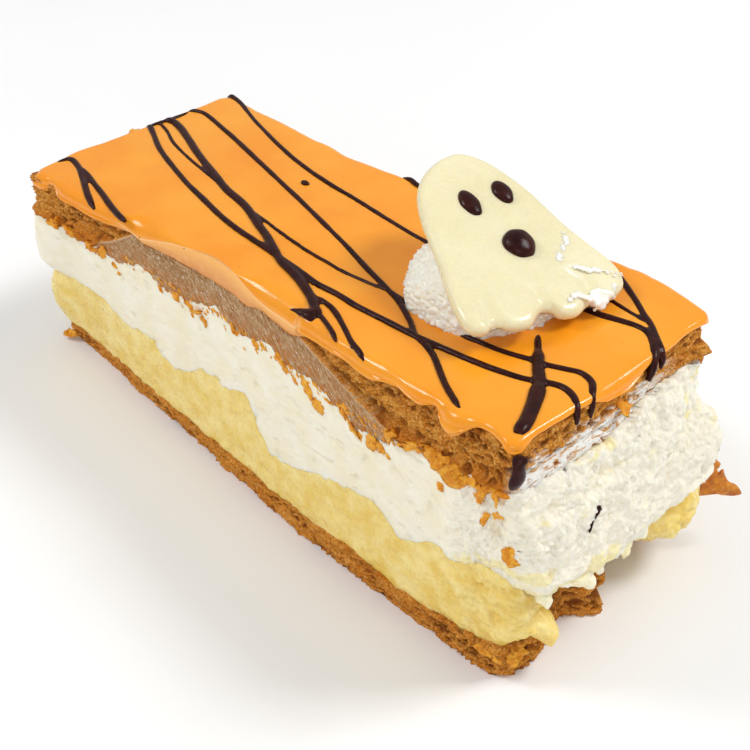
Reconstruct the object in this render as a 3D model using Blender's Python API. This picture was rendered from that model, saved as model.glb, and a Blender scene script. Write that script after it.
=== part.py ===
"""A slice of mille feuille: two sheets of puff pastry with custard and whipped cream between them,
orange icing with chocolate drizzle on top, and a white chocolate ghost that lies on a dollop of cream.

The slice stands on the XY plane. +X points along it to the end with the torn filling, -Y to the long
side with the clean cut, and the origin is the middle of its underside. Sizes are in millimetres up to
the point where a mesh is made.
"""

import math

import bmesh
import bpy
import numpy as np
from mathutils import Matrix, Vector

MM = 0.001

# The slice's nominal plan, which its layers are warped and roughened from.
HALF_LENGTH = 66.0
HALF_WIDTH = 24.0
CORNER_RADIUS = 2.2
RIM_STEP = 3.2

# Heights of the layers.
TOP_AT_MIDDLE = 48.0
TOP_RISE = 4.0 / 65.0
ICING_THICKNESS = 1.6
CUSTARD_TOP = 19.0
GAP = 0.3

# How far in from the rim the waves of a layer's edge die out.
WAVE_REACH = 12.0

DOLLOP_CENTRE = (33.0, 4.0)
DOLLOP_RADIUS = 14.0
DOLLOP_HEIGHT = 10.5

GHOST_TILT = 16.0
GHOST_TURN = 17.0
GHOST_CENTRE = (27.4, 8.6, 60.3)
GHOST_THICKNESS = 2.6

FLAKE_CORNER = (64.6, 27.2, -3.6)
FLAKE_TURN = 47.0
FLAKE_THICKNESS = 1.5

DRIZZLE_PROUD = 0.7
DRIZZLE_SUNK = 0.5


def smooth_step(low, high, value):
    """0 below low, 1 above high, and a soft ramp between them."""
    t = np.clip((value - low) / (high - low), 0.0, 1.0)
    return t * t * (3.0 - 2.0 * t)


def bump(middle, reach, value):
    """A soft hump, 1 at the middle and 0 from reach away."""
    return 1.0 - smooth_step(0.0, reach, np.abs(value - middle))


def through(*knots):
    """A smooth curve through knots (position, height), level beyond the first and the last."""
    at, height = np.array(knots, float).T
    slope = np.gradient(height, at)

    def curve(value):
        value = np.clip(value, at[0], at[-1])
        i = np.clip(np.searchsorted(at, value, side="right") - 1, 0, len(at) - 2)
        span = at[i + 1] - at[i]
        t = (value - at[i]) / span
        start = height[i] * (1 + 2 * t) * (1 - t) ** 2 + slope[i] * span * t * (1 - t) ** 2
        end = height[i + 1] * t * t * (3 - 2 * t) - slope[i + 1] * span * t * t * (1 - t)
        return start + end

    return curve


def lattice(cells, seed):
    """A number from -1 to 1 for each whole-numbered cell, the same on every run."""
    mixed = cells @ np.array((374761393, 668265263, 2147483647)) + seed * 1274126177
    mixed &= 0xFFFFFFFF
    mixed = ((mixed ^ (mixed >> 13)) * 1274126177) & 0xFFFFFFFF
    return ((mixed ^ (mixed >> 16)) & 0xFFFF) / 32767.5 - 1.0


def noise(points, size, seed):
    """Smooth noise from -1 to 1 whose features are about size across, on each axis."""
    scaled = np.asarray(points, float) / size
    cell = np.floor(scaled).astype(np.int64)
    t = scaled - cell
    t = t * t * (3.0 - 2.0 * t)
    total = np.zeros(len(scaled))
    for corner in np.ndindex(2, 2, 2):
        share = np.prod(np.where(corner, t, 1.0 - t), axis=1)
        total += share * lattice(cell + np.array(corner), seed)
    return total


# The true edges of the slice against the nominal plan: where the long sides and the ends lie.
CUT_SIDE_BASE = through(
    (-68, -21.2), (-54, -21), (-42, -22.2), (-16, -23.7), (12, -25.5), (30, -25.8), (66, -23.9)
)
CUT_SIDE_TOP = through(
    (-68, -25.9), (-50, -24.6), (-30, -23.2), (-20, -22.2), (-9, -21.6), (4, -22.1), (40, -23.8),
    (66, -24.6)
)
FAR_SIDE = through(
    (-68, 25.4), (-40, 24.5), (-20, 23.4), (-8, 24.2), (20, 25.7), (42, 26.6), (52, 26.8), (60, 25.4),
    (66, 23.4)
)
NEAR_END = through((-24, 65.6), (-5, 66.2), (24, 65.4))
FAR_END = through((-24, -68.2), (0, -67.2), (24, -66.6))
# How far the base sheet's torn end stands out, or is broken back, across the slice.
BASE_BREAK = through(
    (-24, 0.2), (-14, 0), (-9.5, -2.2), (-5, -3), (-2.5, -0.6), (1.5, -0.2), (4, -5.5), (7, -8.5),
    (24, -9.5)
)

UNDER_TOP_PASTRY = through((-68, 33), (-40, 35.5), (0, 36), (35, 37), (55, 39.5), (66, 41.5))
OVER_BOTTOM_PASTRY = through((-68, 4.6), (-30, 4.7), (10, 4.9), (32, 6), (48, 5.3), (58, 6.4), (66, 8))


def top_level(x):
    """Height of the icing's surface: the slice stands a little taller at its torn end."""
    return TOP_AT_MIDDLE + TOP_RISE * x


def custard_level(x):
    return np.full_like(x, CUSTARD_TOP)


def ground_level(x):
    return np.zeros_like(x)


def under_icing(x):
    return top_level(x) - ICING_THICKNESS - GAP


def to_plan(x, y, z):
    """The place in the real slice of a point of the nominal plan."""
    rise = np.clip(z / top_level(x), 0.0, 1.0)
    cut_side = CUT_SIDE_BASE(x) * (1 - rise) + CUT_SIDE_TOP(x) * rise
    across = np.where(y < 0, -cut_side, FAR_SIDE(x)) / HALF_WIDTH
    along = np.where(x < 0, -FAR_END(y), NEAR_END(y)) / HALF_LENGTH
    return x * along, y * across


class Rim:
    """Points round the nominal plan, from the middle of the far end, mirrored about the X axis."""

    def __init__(self, step=RIM_STEP):
        straight_end = HALF_WIDTH - CORNER_RADIUS
        straight_side = 2 * (HALF_LENGTH - CORNER_RADIUS)
        arc = CORNER_RADIUS * math.pi / 2
        half = 2 * straight_end + straight_side + 2 * arc
        count = round(half / step)
        lengths = np.linspace(0.0, half, count + 1)
        points, normals = zip(*[self.at(s, straight_end, straight_side, arc) for s in lengths])
        mirror = np.array((1.0, -1.0))
        self.points = np.array(list(points) + [mirror * p for p in points[-2:0:-1]])
        self.normals = np.array(list(normals) + [mirror * n for n in normals[-2:0:-1]])
        self.x, self.y = self.points.T
        self.nx, self.ny = self.normals.T
        self.count = len(self.x)
        size = np.array((HALF_LENGTH, HALF_WIDTH))
        reach = WAVE_REACH + CORNER_RADIUS
        self.outward = np.sign(self.points) * np.clip((np.abs(self.points) - size) / reach + 1.0, 0.0, 1.0)

    @staticmethod
    def at(s, end, side, arc):
        """Place and outward direction at length s of the half of the rim that has Y below 0."""
        inner = np.array((HALF_LENGTH - CORNER_RADIUS, HALF_WIDTH - CORNER_RADIUS))
        if s <= end:
            return np.array((-HALF_LENGTH, -s)), np.array((-1.0, 0.0))
        s -= end
        if s <= arc:
            turn = s / CORNER_RADIUS
            out = np.array((-math.cos(turn), -math.sin(turn)))
            return -inner + CORNER_RADIUS * out, out
        s -= arc
        if s <= side:
            return np.array((s - inner[0], -HALF_WIDTH)), np.array((0.0, -1.0))
        s -= side
        if s <= arc:
            turn = s / CORNER_RADIUS
            out = np.array((math.sin(turn), -math.cos(turn)))
            return inner * (1, -1) + CORNER_RADIUS * out, out
        return np.array((HALF_LENGTH, s - arc - inner[1])), np.array((1.0, 0.0))

    def blend(self, cut_side=0.0, far_side=0.0, near_end=0.0, far_end=0.0):
        """One value for each side, mixed round the corners."""
        return (
            np.where(self.ny < 0, self.ny**2, 0) * cut_side
            + np.where(self.ny > 0, self.ny**2, 0) * far_side
            + np.where(self.nx > 0, self.nx**2, 0) * near_end
            + np.where(self.nx < 0, self.nx**2, 0) * far_end
        )

    def place(self, offset):
        """X and Y in the nominal plan, offset outside the rim. Inward, the corners draw together."""
        offset = np.broadcast_to(offset, self.x.shape)[:, None]
        return (self.points + offset * np.where(offset > 0, self.normals, self.outward)).T

    def ring(self, offset, z):
        """Points of the slice that lie offset outside the rim, at height z, a value or a level."""
        x, y = self.place(offset)
        z = np.broadcast_to(z(x) if callable(z) else z, x.shape)
        x, y = to_plan(x, y, z)
        return np.stack((x, y, z), axis=1)

    def cap(self, first, flip):
        """Faces across the ring whose first point has that index, joining mirrored points."""
        faces = []
        for k in range(self.count // 2):
            corners = [k, k + 1, (self.count - k - 1) % self.count, (self.count - k) % self.count]
            face = [first + c for c in dict.fromkeys(corners)]
            faces.append(face[::-1] if flip else face)
        return faces


def closed_rings(rim, rings):
    """A closed mesh of rings that run from the middle of the underside, out, up and back in."""
    count = rim.count
    faces = rim.cap(0, flip=True)
    for r in range(len(rings) - 1):
        low, high = r * count, (r + 1) * count
        for k in range(count):
            a, b, c, d = low + k, low + (k + 1) % count, high + (k + 1) % count, high + k
            faces += [(a, b, d), (b, c, d)] if r == 0 else [(a, b, c), (a, c, d)]
    faces += rim.cap((len(rings) - 1) * count, flip=False)
    return np.concatenate(rings), faces


def food_material(name, colour, roughness):
    """A plain, non-metallic food surface."""
    material = bpy.data.materials.new(name)
    material.use_nodes = True
    shader = material.node_tree.nodes["Principled BSDF"]
    shader.inputs["Base Color"].default_value = (*colour, 1.0)
    shader.inputs["Roughness"].default_value = roughness
    shader.inputs["Metallic"].default_value = 0.0
    material.diffuse_color = (*colour, 1.0)
    return material


def add_object(name, points, faces, material, smooth_angle=50.0):
    """An object whose mesh has these points, given in millimetres."""
    mesh = bpy.data.meshes.new(name)
    mesh.from_pydata([tuple(p) for p in np.asarray(points) * MM], [], faces)
    mesh.shade_smooth()
    mesh.set_sharp_from_angle(angle=math.radians(smooth_angle))
    mesh.materials.append(material)
    made = bpy.data.objects.new(name, mesh)
    bpy.context.scene.collection.objects.link(made)
    return made


def layer_rings(rim, low, high, low_wave, high_wave, shape, rows):
    """Rings of a layer between two levels.

    low and high are functions of X, the waves are how far each edge strays from its level at the rim,
    and shape gives the wall's offset from the rim at each share of its height.
    """

    def edge(level, wave, offset):
        return level(rim.place(offset)[0]) + wave * (1 + np.minimum(offset, 0.0) / WAVE_REACH)

    rings = [rim.ring(-WAVE_REACH, low)]
    for t in rows:
        offset = shape(t)
        foot, head = edge(low, low_wave, offset), edge(high, high_wave, offset)
        rings.append(rim.ring(offset, foot + (head - foot) * t))
    rings.append(rim.ring(-WAVE_REACH, high))
    return rings


def edge_waves(rim):
    """How far the edges between layers stray up and down at the rim: pastry foot, custard, cream."""
    flat = np.stack((rim.x, rim.y, np.zeros_like(rim.x)), axis=1)
    custard = rim.blend(
        cut_side=through(
            (-66, 0), (-50, 1.2), (-45, 0.8), (-42, -0.9), (-31, -0.2), (-28, -2.0), (-20, -2.0),
            (-15, 1.8), (-8, 1.2), (0, 2.9), (3, -2.0), (20, -1.6), (31, 1.4), (37, 1.4), (42, -1.6),
            (46, -1.0), (50, 1.8), (55, -0.4), (64, 3.2),
        )(rim.x),
        far_side=1.6 * noise(flat, 9.0, 11),
        near_end=through((-24, 3.2), (-16, 0.5), (-10, -3.5), (6, -4.0), (14, -2.0), (24, -0.5))(rim.y),
        far_end=1.2 * noise(flat, 7.0, 12),
    )
    sag = through((-24, 0), (3, 0.5), (6, 0.5), (9, -2), (11.5, -0.5), (16, -2), (24, -3.6))(rim.y)
    crust_foot = 0.5 * noise(flat, 6.0, 13) + 0.35 * noise(flat, 2.6, 14) + rim.blend(near_end=sag)
    pastry_foot = 0.7 * noise(flat, 7.0, 15) + 0.4 * noise(flat, 3.0, 16)
    return crust_foot, custard, pastry_foot


def laminated(ring, seed, depth):
    """Relief of a torn flaky edge: crevices that run along the sheets."""
    coarse = noise(ring, (7.0, 7.0, 1.9), seed)
    fine = noise(ring, (3.0, 3.0, 1.3), seed + 1)
    return depth * (0.6 * coarse + 0.4 * fine - 0.25)


def bottom_pastry(rim, waves, material):
    """The thin base sheet, puffed at the torn end and broken away towards its far corner."""

    def shape(t):
        z = OVER_BOTTOM_PASTRY(rim.x) * t
        ring = rim.ring(0.0, z)
        depth = rim.blend(0.5, 0.8, 2.2, 1.0)
        broken = BASE_BREAK(rim.y) * np.clip(rim.nx, 0, 1) ** 2
        corner = smooth_step(53.0, 62.0, rim.x) * (rim.ny > 0.2)
        return laminated(ring, 21, depth) + broken - 1.5 * corner - 0.3 * (1 - t) + 0.1

    rings = layer_rings(
        rim, ground_level, lambda x: OVER_BOTTOM_PASTRY(x) - GAP, 0.0, waves[0], shape,
        rows=(0.0, 0.25, 0.5, 0.75, 1.0),
    )
    return add_object("bottom_pastry", *closed_rings(rim, rings), material)


# The loose flake's outline: out from its corner, and up.
FLAKE_OUTLINE = (
    (0.3, 13.6), (3.2, 13.2), (5.4, 13.0), (7.6, 11.9), (8.0, 14.0), (6.6, 15.9), (4.6, 17.4), (4.7, 19.4),
    (6.0, 21.4), (4.2, 22.8), (2.0, 23.6), (1.2, 21.0), (0.0, 17.5),
)


def loose_flake(material):
    """A flake of crust that stands out of the filling's far corner at the torn end."""
    outline = np.array(FLAKE_OUTLINE)
    corner = Matrix.Translation(Vector(FLAKE_CORNER)) @ Matrix.Rotation(math.radians(FLAKE_TURN), 4, "Z")
    upright = corner @ Matrix.Rotation(math.radians(90.0), 4, "X")
    half = FLAKE_THICKNESS / 2
    profile = ((0.35, -half), (0.0, -0.3 * half), (0.0, 0.3 * half), (0.35, half))
    return flat_piece("crust_flake", outline, profile, material, upright)


def outward_faces(made):
    """Turns every face of a closed mesh to point out."""
    shape = bmesh.new()
    shape.from_mesh(made.data)
    bmesh.ops.recalc_face_normals(shape, faces=shape.faces)
    shape.to_mesh(made.data)
    shape.free()


def join(base, others):
    """Fuses other closed objects into the base, which becomes one solid, and removes them."""
    group = bpy.data.collections.new("joined")
    for other in others:
        bpy.context.scene.collection.objects.unlink(other)
        group.objects.link(other)
    bpy.context.scene.collection.children.link(group)
    union = base.modifiers.new("union", "BOOLEAN")
    union.operation = "UNION"
    union.operand_type = "COLLECTION"
    union.collection = group
    union.solver = "EXACT"
    fused = bpy.data.meshes.new_from_object(base.evaluated_get(bpy.context.evaluated_depsgraph_get()))
    base.modifiers.clear()
    base.data = fused
    for other in others:
        bpy.data.objects.remove(other)
    bpy.data.collections.remove(group)


def custard_layer(rim, waves, material):
    """Yellow custard, smooth where it is cut and squeezed out in a tongue at the torn end."""

    def shape(t):
        low, high = OVER_BOTTOM_PASTRY(rim.x), custard_level(rim.x) + waves[1]
        z = low + (high - low) * t
        ring = rim.ring(0.0, z)
        soft = rim.blend(0.0, 0.4, 1.0, 0.6) + 0.6 * smooth_step(52, 64, rim.x)
        bulge = rim.blend(0.0, 0.8, 3.0, 2.2) + 1.4 * smooth_step(-58, -66, rim.x) * (rim.ny < -0.2)
        corner = 2.2 * smooth_step(54, 66, rim.x) * (rim.ny > 0.2)
        tongue = 5.0 * bump(-15.0, 7.0, rim.y) * np.clip(rim.nx, 0, 1) ** 2 * (1 - t)
        swell = math.sin(math.pi * t) ** 0.6
        return swell * (bulge + corner + tongue + soft * 0.9 * noise(ring, (6.0, 6.0, 4.0), 41))

    rings = layer_rings(
        rim, OVER_BOTTOM_PASTRY, lambda x: custard_level(x) - GAP, waves[0], waves[1], shape,
        rows=(0.0, 0.2, 0.45, 0.75, 1.0),
    )
    return add_object("custard", *closed_rings(rim, rings), material)


def whipped_cream(rim, waves, material):
    """White cream, wiped flat along the cut and torn into peaks where it bulges out of the end."""

    def shape(t):
        low, high = custard_level(rim.x) + waves[1], UNDER_TOP_PASTRY(rim.x)
        z = low + (high - low) * t
        ring = rim.ring(0.0, z)
        rough = rim.blend(0.05, 0.8, 1.5, 0.9) + 0.7 * smooth_step(50, 62, rim.x)
        swell = through((0, 0), (0.12, 0.8), (0.35, 1.0), (0.62, 0.85), (0.85, 0.45), (1, 0))(t)
        bulge = rim.blend(0.0, 0.9, 4.4, 2.2) * swell
        bulge += 1.6 * smooth_step(-58, -66, rim.x) * (rim.ny < -0.2) * swell
        corner = 3.2 * smooth_step(52, 66, rim.x) * (rim.ny > 0.2) * swell * (1 - t)
        peaks = 0.65 * noise(ring, (7.0, 7.0, 4.5), 51) + 0.5 * noise(ring, (3.2, 3.2, 2.6), 52)
        return bulge + corner + rough * peaks * min(1.0, 6 * swell)

    rings = layer_rings(
        rim, custard_level, lambda x: UNDER_TOP_PASTRY(x) - GAP, waves[1], waves[2], shape,
        rows=(0.0, 0.15, 0.32, 0.5, 0.68, 0.85, 1.0),
    )
    return add_object("whipped_cream", *closed_rings(rim, rings), material)


CUT_ARC = through(
    (-50, 34), (-45, 36), (-35, 41), (-20, 45), (-8, 47.6), (2, 47.6), (15, 44.5), (25, 42.5),
    (32, 40.5), (40, 37.5), (46, 34),
)


def top_pastry(rim, waves, material):
    """The upper sheet. The knife wiped it flat under an arc, and it is torn and set back elsewhere."""

    def shape(t):
        low, high = UNDER_TOP_PASTRY(rim.x), under_icing(rim.x)
        z = low + (high - low) * t
        ring = rim.ring(0.0, z)
        wiped = np.where(rim.ny < -0.7, 1 - smooth_step(-0.6, 0.4, z - CUT_ARC(rim.x)), 0.0)
        torn = laminated(ring, 61, rim.blend(1.5, 1.4, 1.2, 1.4)) - rim.blend(0.9, 0.5, 0.3, 0.0)
        torn += 3.0 * bump(22.0, 4.0, rim.y) * np.clip(rim.nx, 0, 1) + 1.5 * rim.blend(far_end=1.0)
        torn = np.minimum(torn, -1.0 if t > 0.45 else 2.6)
        return np.where(t > 0.97, -1.0, torn * (1 - wiped) - 0.05 * wiped)

    rings = layer_rings(
        rim, UNDER_TOP_PASTRY, lambda x: under_icing(x), waves[2], 0.0, shape,
        rows=(0.0, 0.18, 0.36, 0.54, 0.72, 0.88, 1.0),
    )
    return add_object("top_pastry", *closed_rings(rim, rings), material)


def lip_drop(rim):
    """How far the icing's lip hangs below its own underside, round the rim."""
    flat = np.stack((rim.x, rim.y, np.zeros_like(rim.x)), axis=1)
    drops = 0.9 + 0.8 * noise(flat, 8.0, 71) + 0.5 * noise(flat, 4.0, 72)
    cut_side = through(
        (-66, 1.4), (-55, 1.0), (-42, 0.8), (-33, 0.5), (-25, 0.9), (-5, 1.0), (8, 0.9), (17, 0.4),
        (24, 0.6), (29, 1.6), (33, 2.6), (38, 1.2), (45, 0.4), (49, 1.4), (52, 2.7), (56, 0.8),
        (61, 0.6), (65, 2.6),
    )(rim.x)
    near_end = through(
        (-24, 4.0), (-20, 3.4), (-16, 1.4), (-9, 0.7), (-4, 0.6), (0, 1.4), (5, 1.5), (9, 0.9), (24, 0.6)
    )(rim.y)
    return np.maximum(rim.blend(cut_side, drops, near_end, drops), 0.25)


def icing_rings(rim):
    """A thin sheet with a rounded lip that hangs over the pastry, but is cut flush above the arc."""
    flush = np.where(rim.ny < -0.7, bump(-8.0, 30.0, rim.x) ** 0.35, 0.0)
    level, drop = top_level(rim.x), lip_drop(rim) * (1 - flush) + 0.25 * flush
    under = level - ICING_THICKNESS
    out = 0.9 * (1 - flush)
    return [
        rim.ring(-WAVE_REACH, lambda x: top_level(x) - ICING_THICKNESS),
        rim.ring(-0.6, under),
        rim.ring(-0.5, under - drop),
        rim.ring(out - 0.1, under - drop - 0.2),
        rim.ring(out, level - 0.85),
        rim.ring(-0.9, level - 0.25),
        rim.ring(-3.5, top_level),
    ]


# The chocolate drizzle, each line as its width and its points on the icing, seen from above.
DRIZZLE = (
    (1.5, ((-66, 26), (-60, 24.5), (-51, 20), (-40, 17), (-30, 14.3), (-20, 12.6), (-10, 11.2), (0, 10),
           (16, 8.8))),
    (1.5, ((-66, 15.5), (-55, 14.5), (-45, 11.6), (-35, 8.8), (-25, 6.2), (-15, 3.5), (-5, 0.5), (5, -2.5),
           (15, -5.8), (21, -7.6), (26, -9.4), (31, -12.5), (39, -15.3), (45, -19.3), (54, -23.2))),
    (2.3, ((-66.5, 9.6), (-60, 8.4), (-45, 2.6), (-31, -2.5), (-19, -5.7), (-10, -9), (-3, -11.8),
           (5, -14), (13, -17), (18, -20), (21, -21.8))),
    (1.2, ((-66.5, 6.4), (-60, 4.5), (-47, 0.5), (-33, -2.3))),
    (1.4, ((-17, -5.7), (-5, -7.2), (3, -8.2), (11, -8.5), (19, -7.9))),
    (1.7, ((-66.5, 4.6), (-60, 1.5), (-53, -2), (-45, -4.6), (-35, -7.4), (-25, -9.7), (-15, -11.2),
           (-5, -12.1), (5, -13.5), (15, -14), (30, -14), (40, -13.2), (47, -12.2), (55, -10.4),
           (62, -8.6), (66, -10.5))),
    (1.7, ((-66, -16), (-60, -18), (-55, -18.6), (-49, -20.2), (-42, -22), (-36, -23.4))),
    (1.2, ((-58, -19), (-52, -22), (-46, -23.6))),
    (1.5, ((13, -17), (21, -18.8), (29, -22), (34, -23.4))),
    (3.3, ((49.5, -1.5), (52, -3.8), (55, -6.6), (57.5, -10.4), (60, -14.6), (63, -20.4))),
    (1.6, ((44, -7.4), (48, -5.9), (54, -4.5), (60, -3.5), (66, -6.6))),
    (1.8, ((49, 11), (55, 12.5), (59.5, 14.5), (63.5, 11), (66, 8))),
    (1.6, ((54.8, 18.6), (59, 15.6))),
    (1.3, ((55, 15.4), (59, 15))),
)


def drizzle_line(width, route, lift, material):
    """One line of chocolate, lifted a hair so that no two that cross are level with each other."""
    route = np.array(route, float)
    steps = np.linalg.norm(np.diff(route, axis=0), axis=1)
    ahead = np.gradient(route, axis=0)
    ahead /= np.linalg.norm(ahead, axis=1)[:, None]
    left = np.stack((-ahead[:, 1], ahead[:, 0]), axis=1)
    left_and_up = (
        (-0.5, -DRIZZLE_SUNK), (0.5, -DRIZZLE_SUNK), (0.32, DRIZZLE_PROUD), (-0.32, DRIZZLE_PROUD)
    )
    points, faces = [], []
    for i, (x, y) in enumerate(route):
        last = i in (0, len(route) - 1)
        spread = width * (0.6 if last else 1.0)
        level = top_level(x) - 0.35 * smooth_step(64.0, 66.5, abs(x))
        for side, up in left_and_up:
            sideways = left[i] * side * spread
            points.append((x + sideways[0], y + sideways[1], level + up + lift))
    sides = len(left_and_up)
    for i in range(len(steps)):
        for j in range(sides):
            a, b = i * sides + j, i * sides + (j + 1) % sides
            faces.append((a, b, b + sides, a + sides))
    faces.append(tuple(range(sides)))
    faces.append(tuple(range(len(route) * sides - 1, (len(route) - 1) * sides - 1, -1)))
    line = add_object("drizzle", points, faces, material)
    outward_faces(line)
    return line


def chocolate_drop(middle, radii, material):
    """A small round drop of chocolate that stands in the icing."""
    shape = bmesh.new()
    bmesh.ops.create_icosphere(shape, subdivisions=2, radius=1.0)
    bmesh.ops.scale(shape, vec=Vector(radii) * MM, verts=shape.verts)
    bmesh.ops.translate(shape, vec=Vector(middle) * MM, verts=shape.verts)
    mesh = bpy.data.meshes.new("drop")
    shape.to_mesh(mesh)
    shape.free()
    mesh.materials.append(material)
    made = bpy.data.objects.new("drop", mesh)
    bpy.context.scene.collection.objects.link(made)
    return made


def icing_with_drizzle(rim, icing, chocolate):
    """The icing, with the chocolate that lies on it fused in."""
    sheet = add_object("icing", *closed_rings(rim, icing_rings(rim)), icing)
    lines = [
        drizzle_line(width, route, 0.015 * i, chocolate) for i, (width, route) in enumerate(DRIZZLE)
    ]
    drops = [
        chocolate_drop((-21.0, 9.6, top_level(-21.0)), (1.4, 1.0, 0.8), chocolate),
        chocolate_drop((16.0, -20.6, top_level(16.0)), (2.6, 1.7, 1.3), chocolate),
        chocolate_drop((67.1, -6.9, 50.4), (1.0, 0.9, 2.2), chocolate),
        chocolate_drop((67.1, -10.9, 50.4), (1.0, 0.9, 2.4), chocolate),
        chocolate_drop((67.1, 7.6, 50.2), (1.1, 1.1, 3.0), chocolate),
        chocolate_drop((66.3, -23.6, 48.9), (1.1, 1.3, 3.2), chocolate),
    ]
    join(sheet, lines + drops)
    return sheet


def ghost_frame():
    """Turns the ghost's plane, with +Y to its head and +Z out of its face, into the slice's frame."""
    lean = Matrix.Rotation(math.radians(GHOST_TILT), 4, "Y")
    turn = Matrix.Rotation(math.radians(90.0 - GHOST_TURN), 4, "Z")
    return Matrix.Translation(Vector(GHOST_CENTRE)) @ lean @ turn


def closed_curve(knots, per_span):
    """A smooth closed curve through knots, in a plane."""
    knots = np.array(knots, float)
    found = []
    for i in range(len(knots)):
        before, start, end, after = (knots[(i + k) % len(knots)] for k in (-1, 0, 1, 2))
        for t in np.arange(per_span) / per_span:
            found.append(
                0.5 * (2 * start + (end - before) * t
                       + (2 * before - 5 * start + 4 * end - after) * t**2
                       + (3 * start - before - 3 * end + after) * t**3)
            )
    return np.array(found)


# The ghost's outline: a round head, sides that flare and a hem with three folds.
GHOST_OUTLINE = (
    (0.5, 14.4), (-4.6, 12.9), (-8.8, 8.8), (-11.3, 3.2), (-13.0, -4.4), (-14.8, -13.0), (-16.0, -20.5),
    (-14.2, -24.6), (-11.2, -24.0), (-7.2, -25.9), (-3.4, -24.4), (-1.0, -22.6), (1.4, -24.9), (5.4, -24.7),
    (8.0, -22.9), (12.0, -23.8), (15.9, -21.6), (16.4, -16.6), (14.4, -9.4), (12.4, -1.6), (9.6, 6.6),
    (5.6, 12.4),
)


def flat_piece(name, outline, profile, material, frame):
    """A piece with this outline whose edge follows the profile of (inset, height) pairs."""
    ahead = np.roll(outline, -1, axis=0) - np.roll(outline, 1, axis=0)
    inward = np.stack((-ahead[:, 1], ahead[:, 0]), axis=1) / np.linalg.norm(ahead, axis=1)[:, None]
    count = len(outline)
    points = [
        (*(place + inset * inside), height)
        for inset, height in profile
        for place, inside in zip(outline, inward)
    ]
    faces = [tuple(range(count))]
    for r in range(len(profile) - 1):
        for k in range(count):
            a, b = r * count + k, r * count + (k + 1) % count
            faces.append((a, b, b + count, a + count))
    faces.append(tuple(reversed(range((len(profile) - 1) * count, len(profile) * count))))
    made = add_object(name, points, faces, material)
    outward_faces(made)
    made.matrix_world = frame_in_metres(frame)
    return made


def frame_in_metres(frame):
    return Matrix.Translation(frame.translation * MM) @ frame.to_3x3().to_4x4()


def ghost(material):
    """The white chocolate ghost, a plate with rounded edges."""
    half = GHOST_THICKNESS / 2
    profile = ((0.9, -half), (0.1, -0.5 * half), (0.1, 0.2 * half), (0.6, 0.75 * half), (1.6, half))
    return flat_piece("ghost", closed_curve(GHOST_OUTLINE, 2), profile, material, ghost_frame())


def ghost_drop(name, middle, radii, turn, height, material):
    """An eye or the mouth: an oval dome of dark chocolate on the ghost's face."""
    angles = np.linspace(0.0, 2 * np.pi, 16, endpoint=False)
    oval = np.stack((radii[0] * np.cos(angles), radii[1] * np.sin(angles)), axis=1)
    spin = np.array(((math.cos(turn), math.sin(turn)), (-math.sin(turn), math.cos(turn))))
    base = GHOST_THICKNESS / 2 + GAP
    short = min(radii)
    profile = [
        (short * 0.86 * (1 - math.cos(a)), base + height * math.sin(a))
        for a in np.radians((0, 30, 58, 80))
    ]
    return flat_piece(name, oval @ spin + middle, profile, material, ghost_frame())


def dollop(material):
    """A mound of cream whose top is pressed to the slope of the ghost that lies on it."""
    lie = ghost_frame()
    face = lie.to_3x3() @ Vector((0, 0, 1))
    rest = lie @ Vector((0, 0, -GHOST_THICKNESS / 2 - GAP))
    rows, around = 7, 32
    base = top_level(DOLLOP_CENTRE[0]) + GAP
    points = []
    for r in range(rows):
        up = math.radians(90.0 * r / rows)
        for k in range(around):
            a = 2 * math.pi * k / around
            out = DOLLOP_RADIUS * (math.cos(up) ** 0.62)
            here = np.array([[out * math.cos(a), out * math.sin(a), 14.0 * math.sin(up)]])
            out += 0.7 * noise(here, 5.0, 91)[0] + 0.4 * noise(here, 2.4, 92)[0]
            x = DOLLOP_CENTRE[0] + out * math.cos(a)
            y = DOLLOP_CENTRE[1] + out * math.sin(a)
            dome = base + DOLLOP_HEIGHT * math.sin(up) + TOP_RISE * (x - DOLLOP_CENTRE[0])
            pressed = rest.z - (face.x * (x - rest.x) + face.y * (y - rest.y)) / face.z
            points.append((x, y, min(dome, pressed)))
    crown = np.mean(points[-around:], axis=0)
    points.append(tuple(crown))
    faces = [tuple(reversed(range(around)))]
    for r in range(rows - 1):
        for k in range(around):
            a, b = r * around + k, r * around + (k + 1) % around
            faces.append((a, b, b + around, a + around))
    first = (rows - 1) * around
    faces += [(first + k, first + (k + 1) % around, rows * around) for k in range(around)]
    return add_object("cream_dollop", points, faces, material)


def main():
    for old in list(bpy.data.objects):
        bpy.data.objects.remove(old, do_unlink=True)
    crust = food_material("crust", (0.55, 0.27, 0.08), 0.8)
    yellow = food_material("custard", (0.85, 0.66, 0.24), 0.45)
    white = food_material("cream", (0.93, 0.90, 0.80), 0.6)
    orange = food_material("icing", (0.98, 0.45, 0.09), 0.25)
    dark = food_material("chocolate", (0.06, 0.025, 0.02), 0.35)
    pale = food_material("white_chocolate", (0.90, 0.80, 0.48), 0.35)

    rim = Rim()
    waves = edge_waves(rim)
    bottom_pastry(rim, waves, crust)
    custard_layer(rim, waves, yellow)
    whipped_cream(rim, waves, white)
    top_pastry(rim, waves, crust)
    loose_flake(crust)
    icing_with_drizzle(rim, orange, dark)
    dollop(white)
    ghost(pale)
    ghost_drop("ghost_eye_left", (-1.2, 3.3), (1.55, 2.3), 0.35, 1.3, dark)
    ghost_drop("ghost_eye_right", (6.2, 4.5), (1.6, 2.1), 0.35, 1.3, dark)
    ghost_drop("ghost_mouth", (2.5, -7.7), (2.8, 3.1), 0.0, 2.3, dark)


main()
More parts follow.
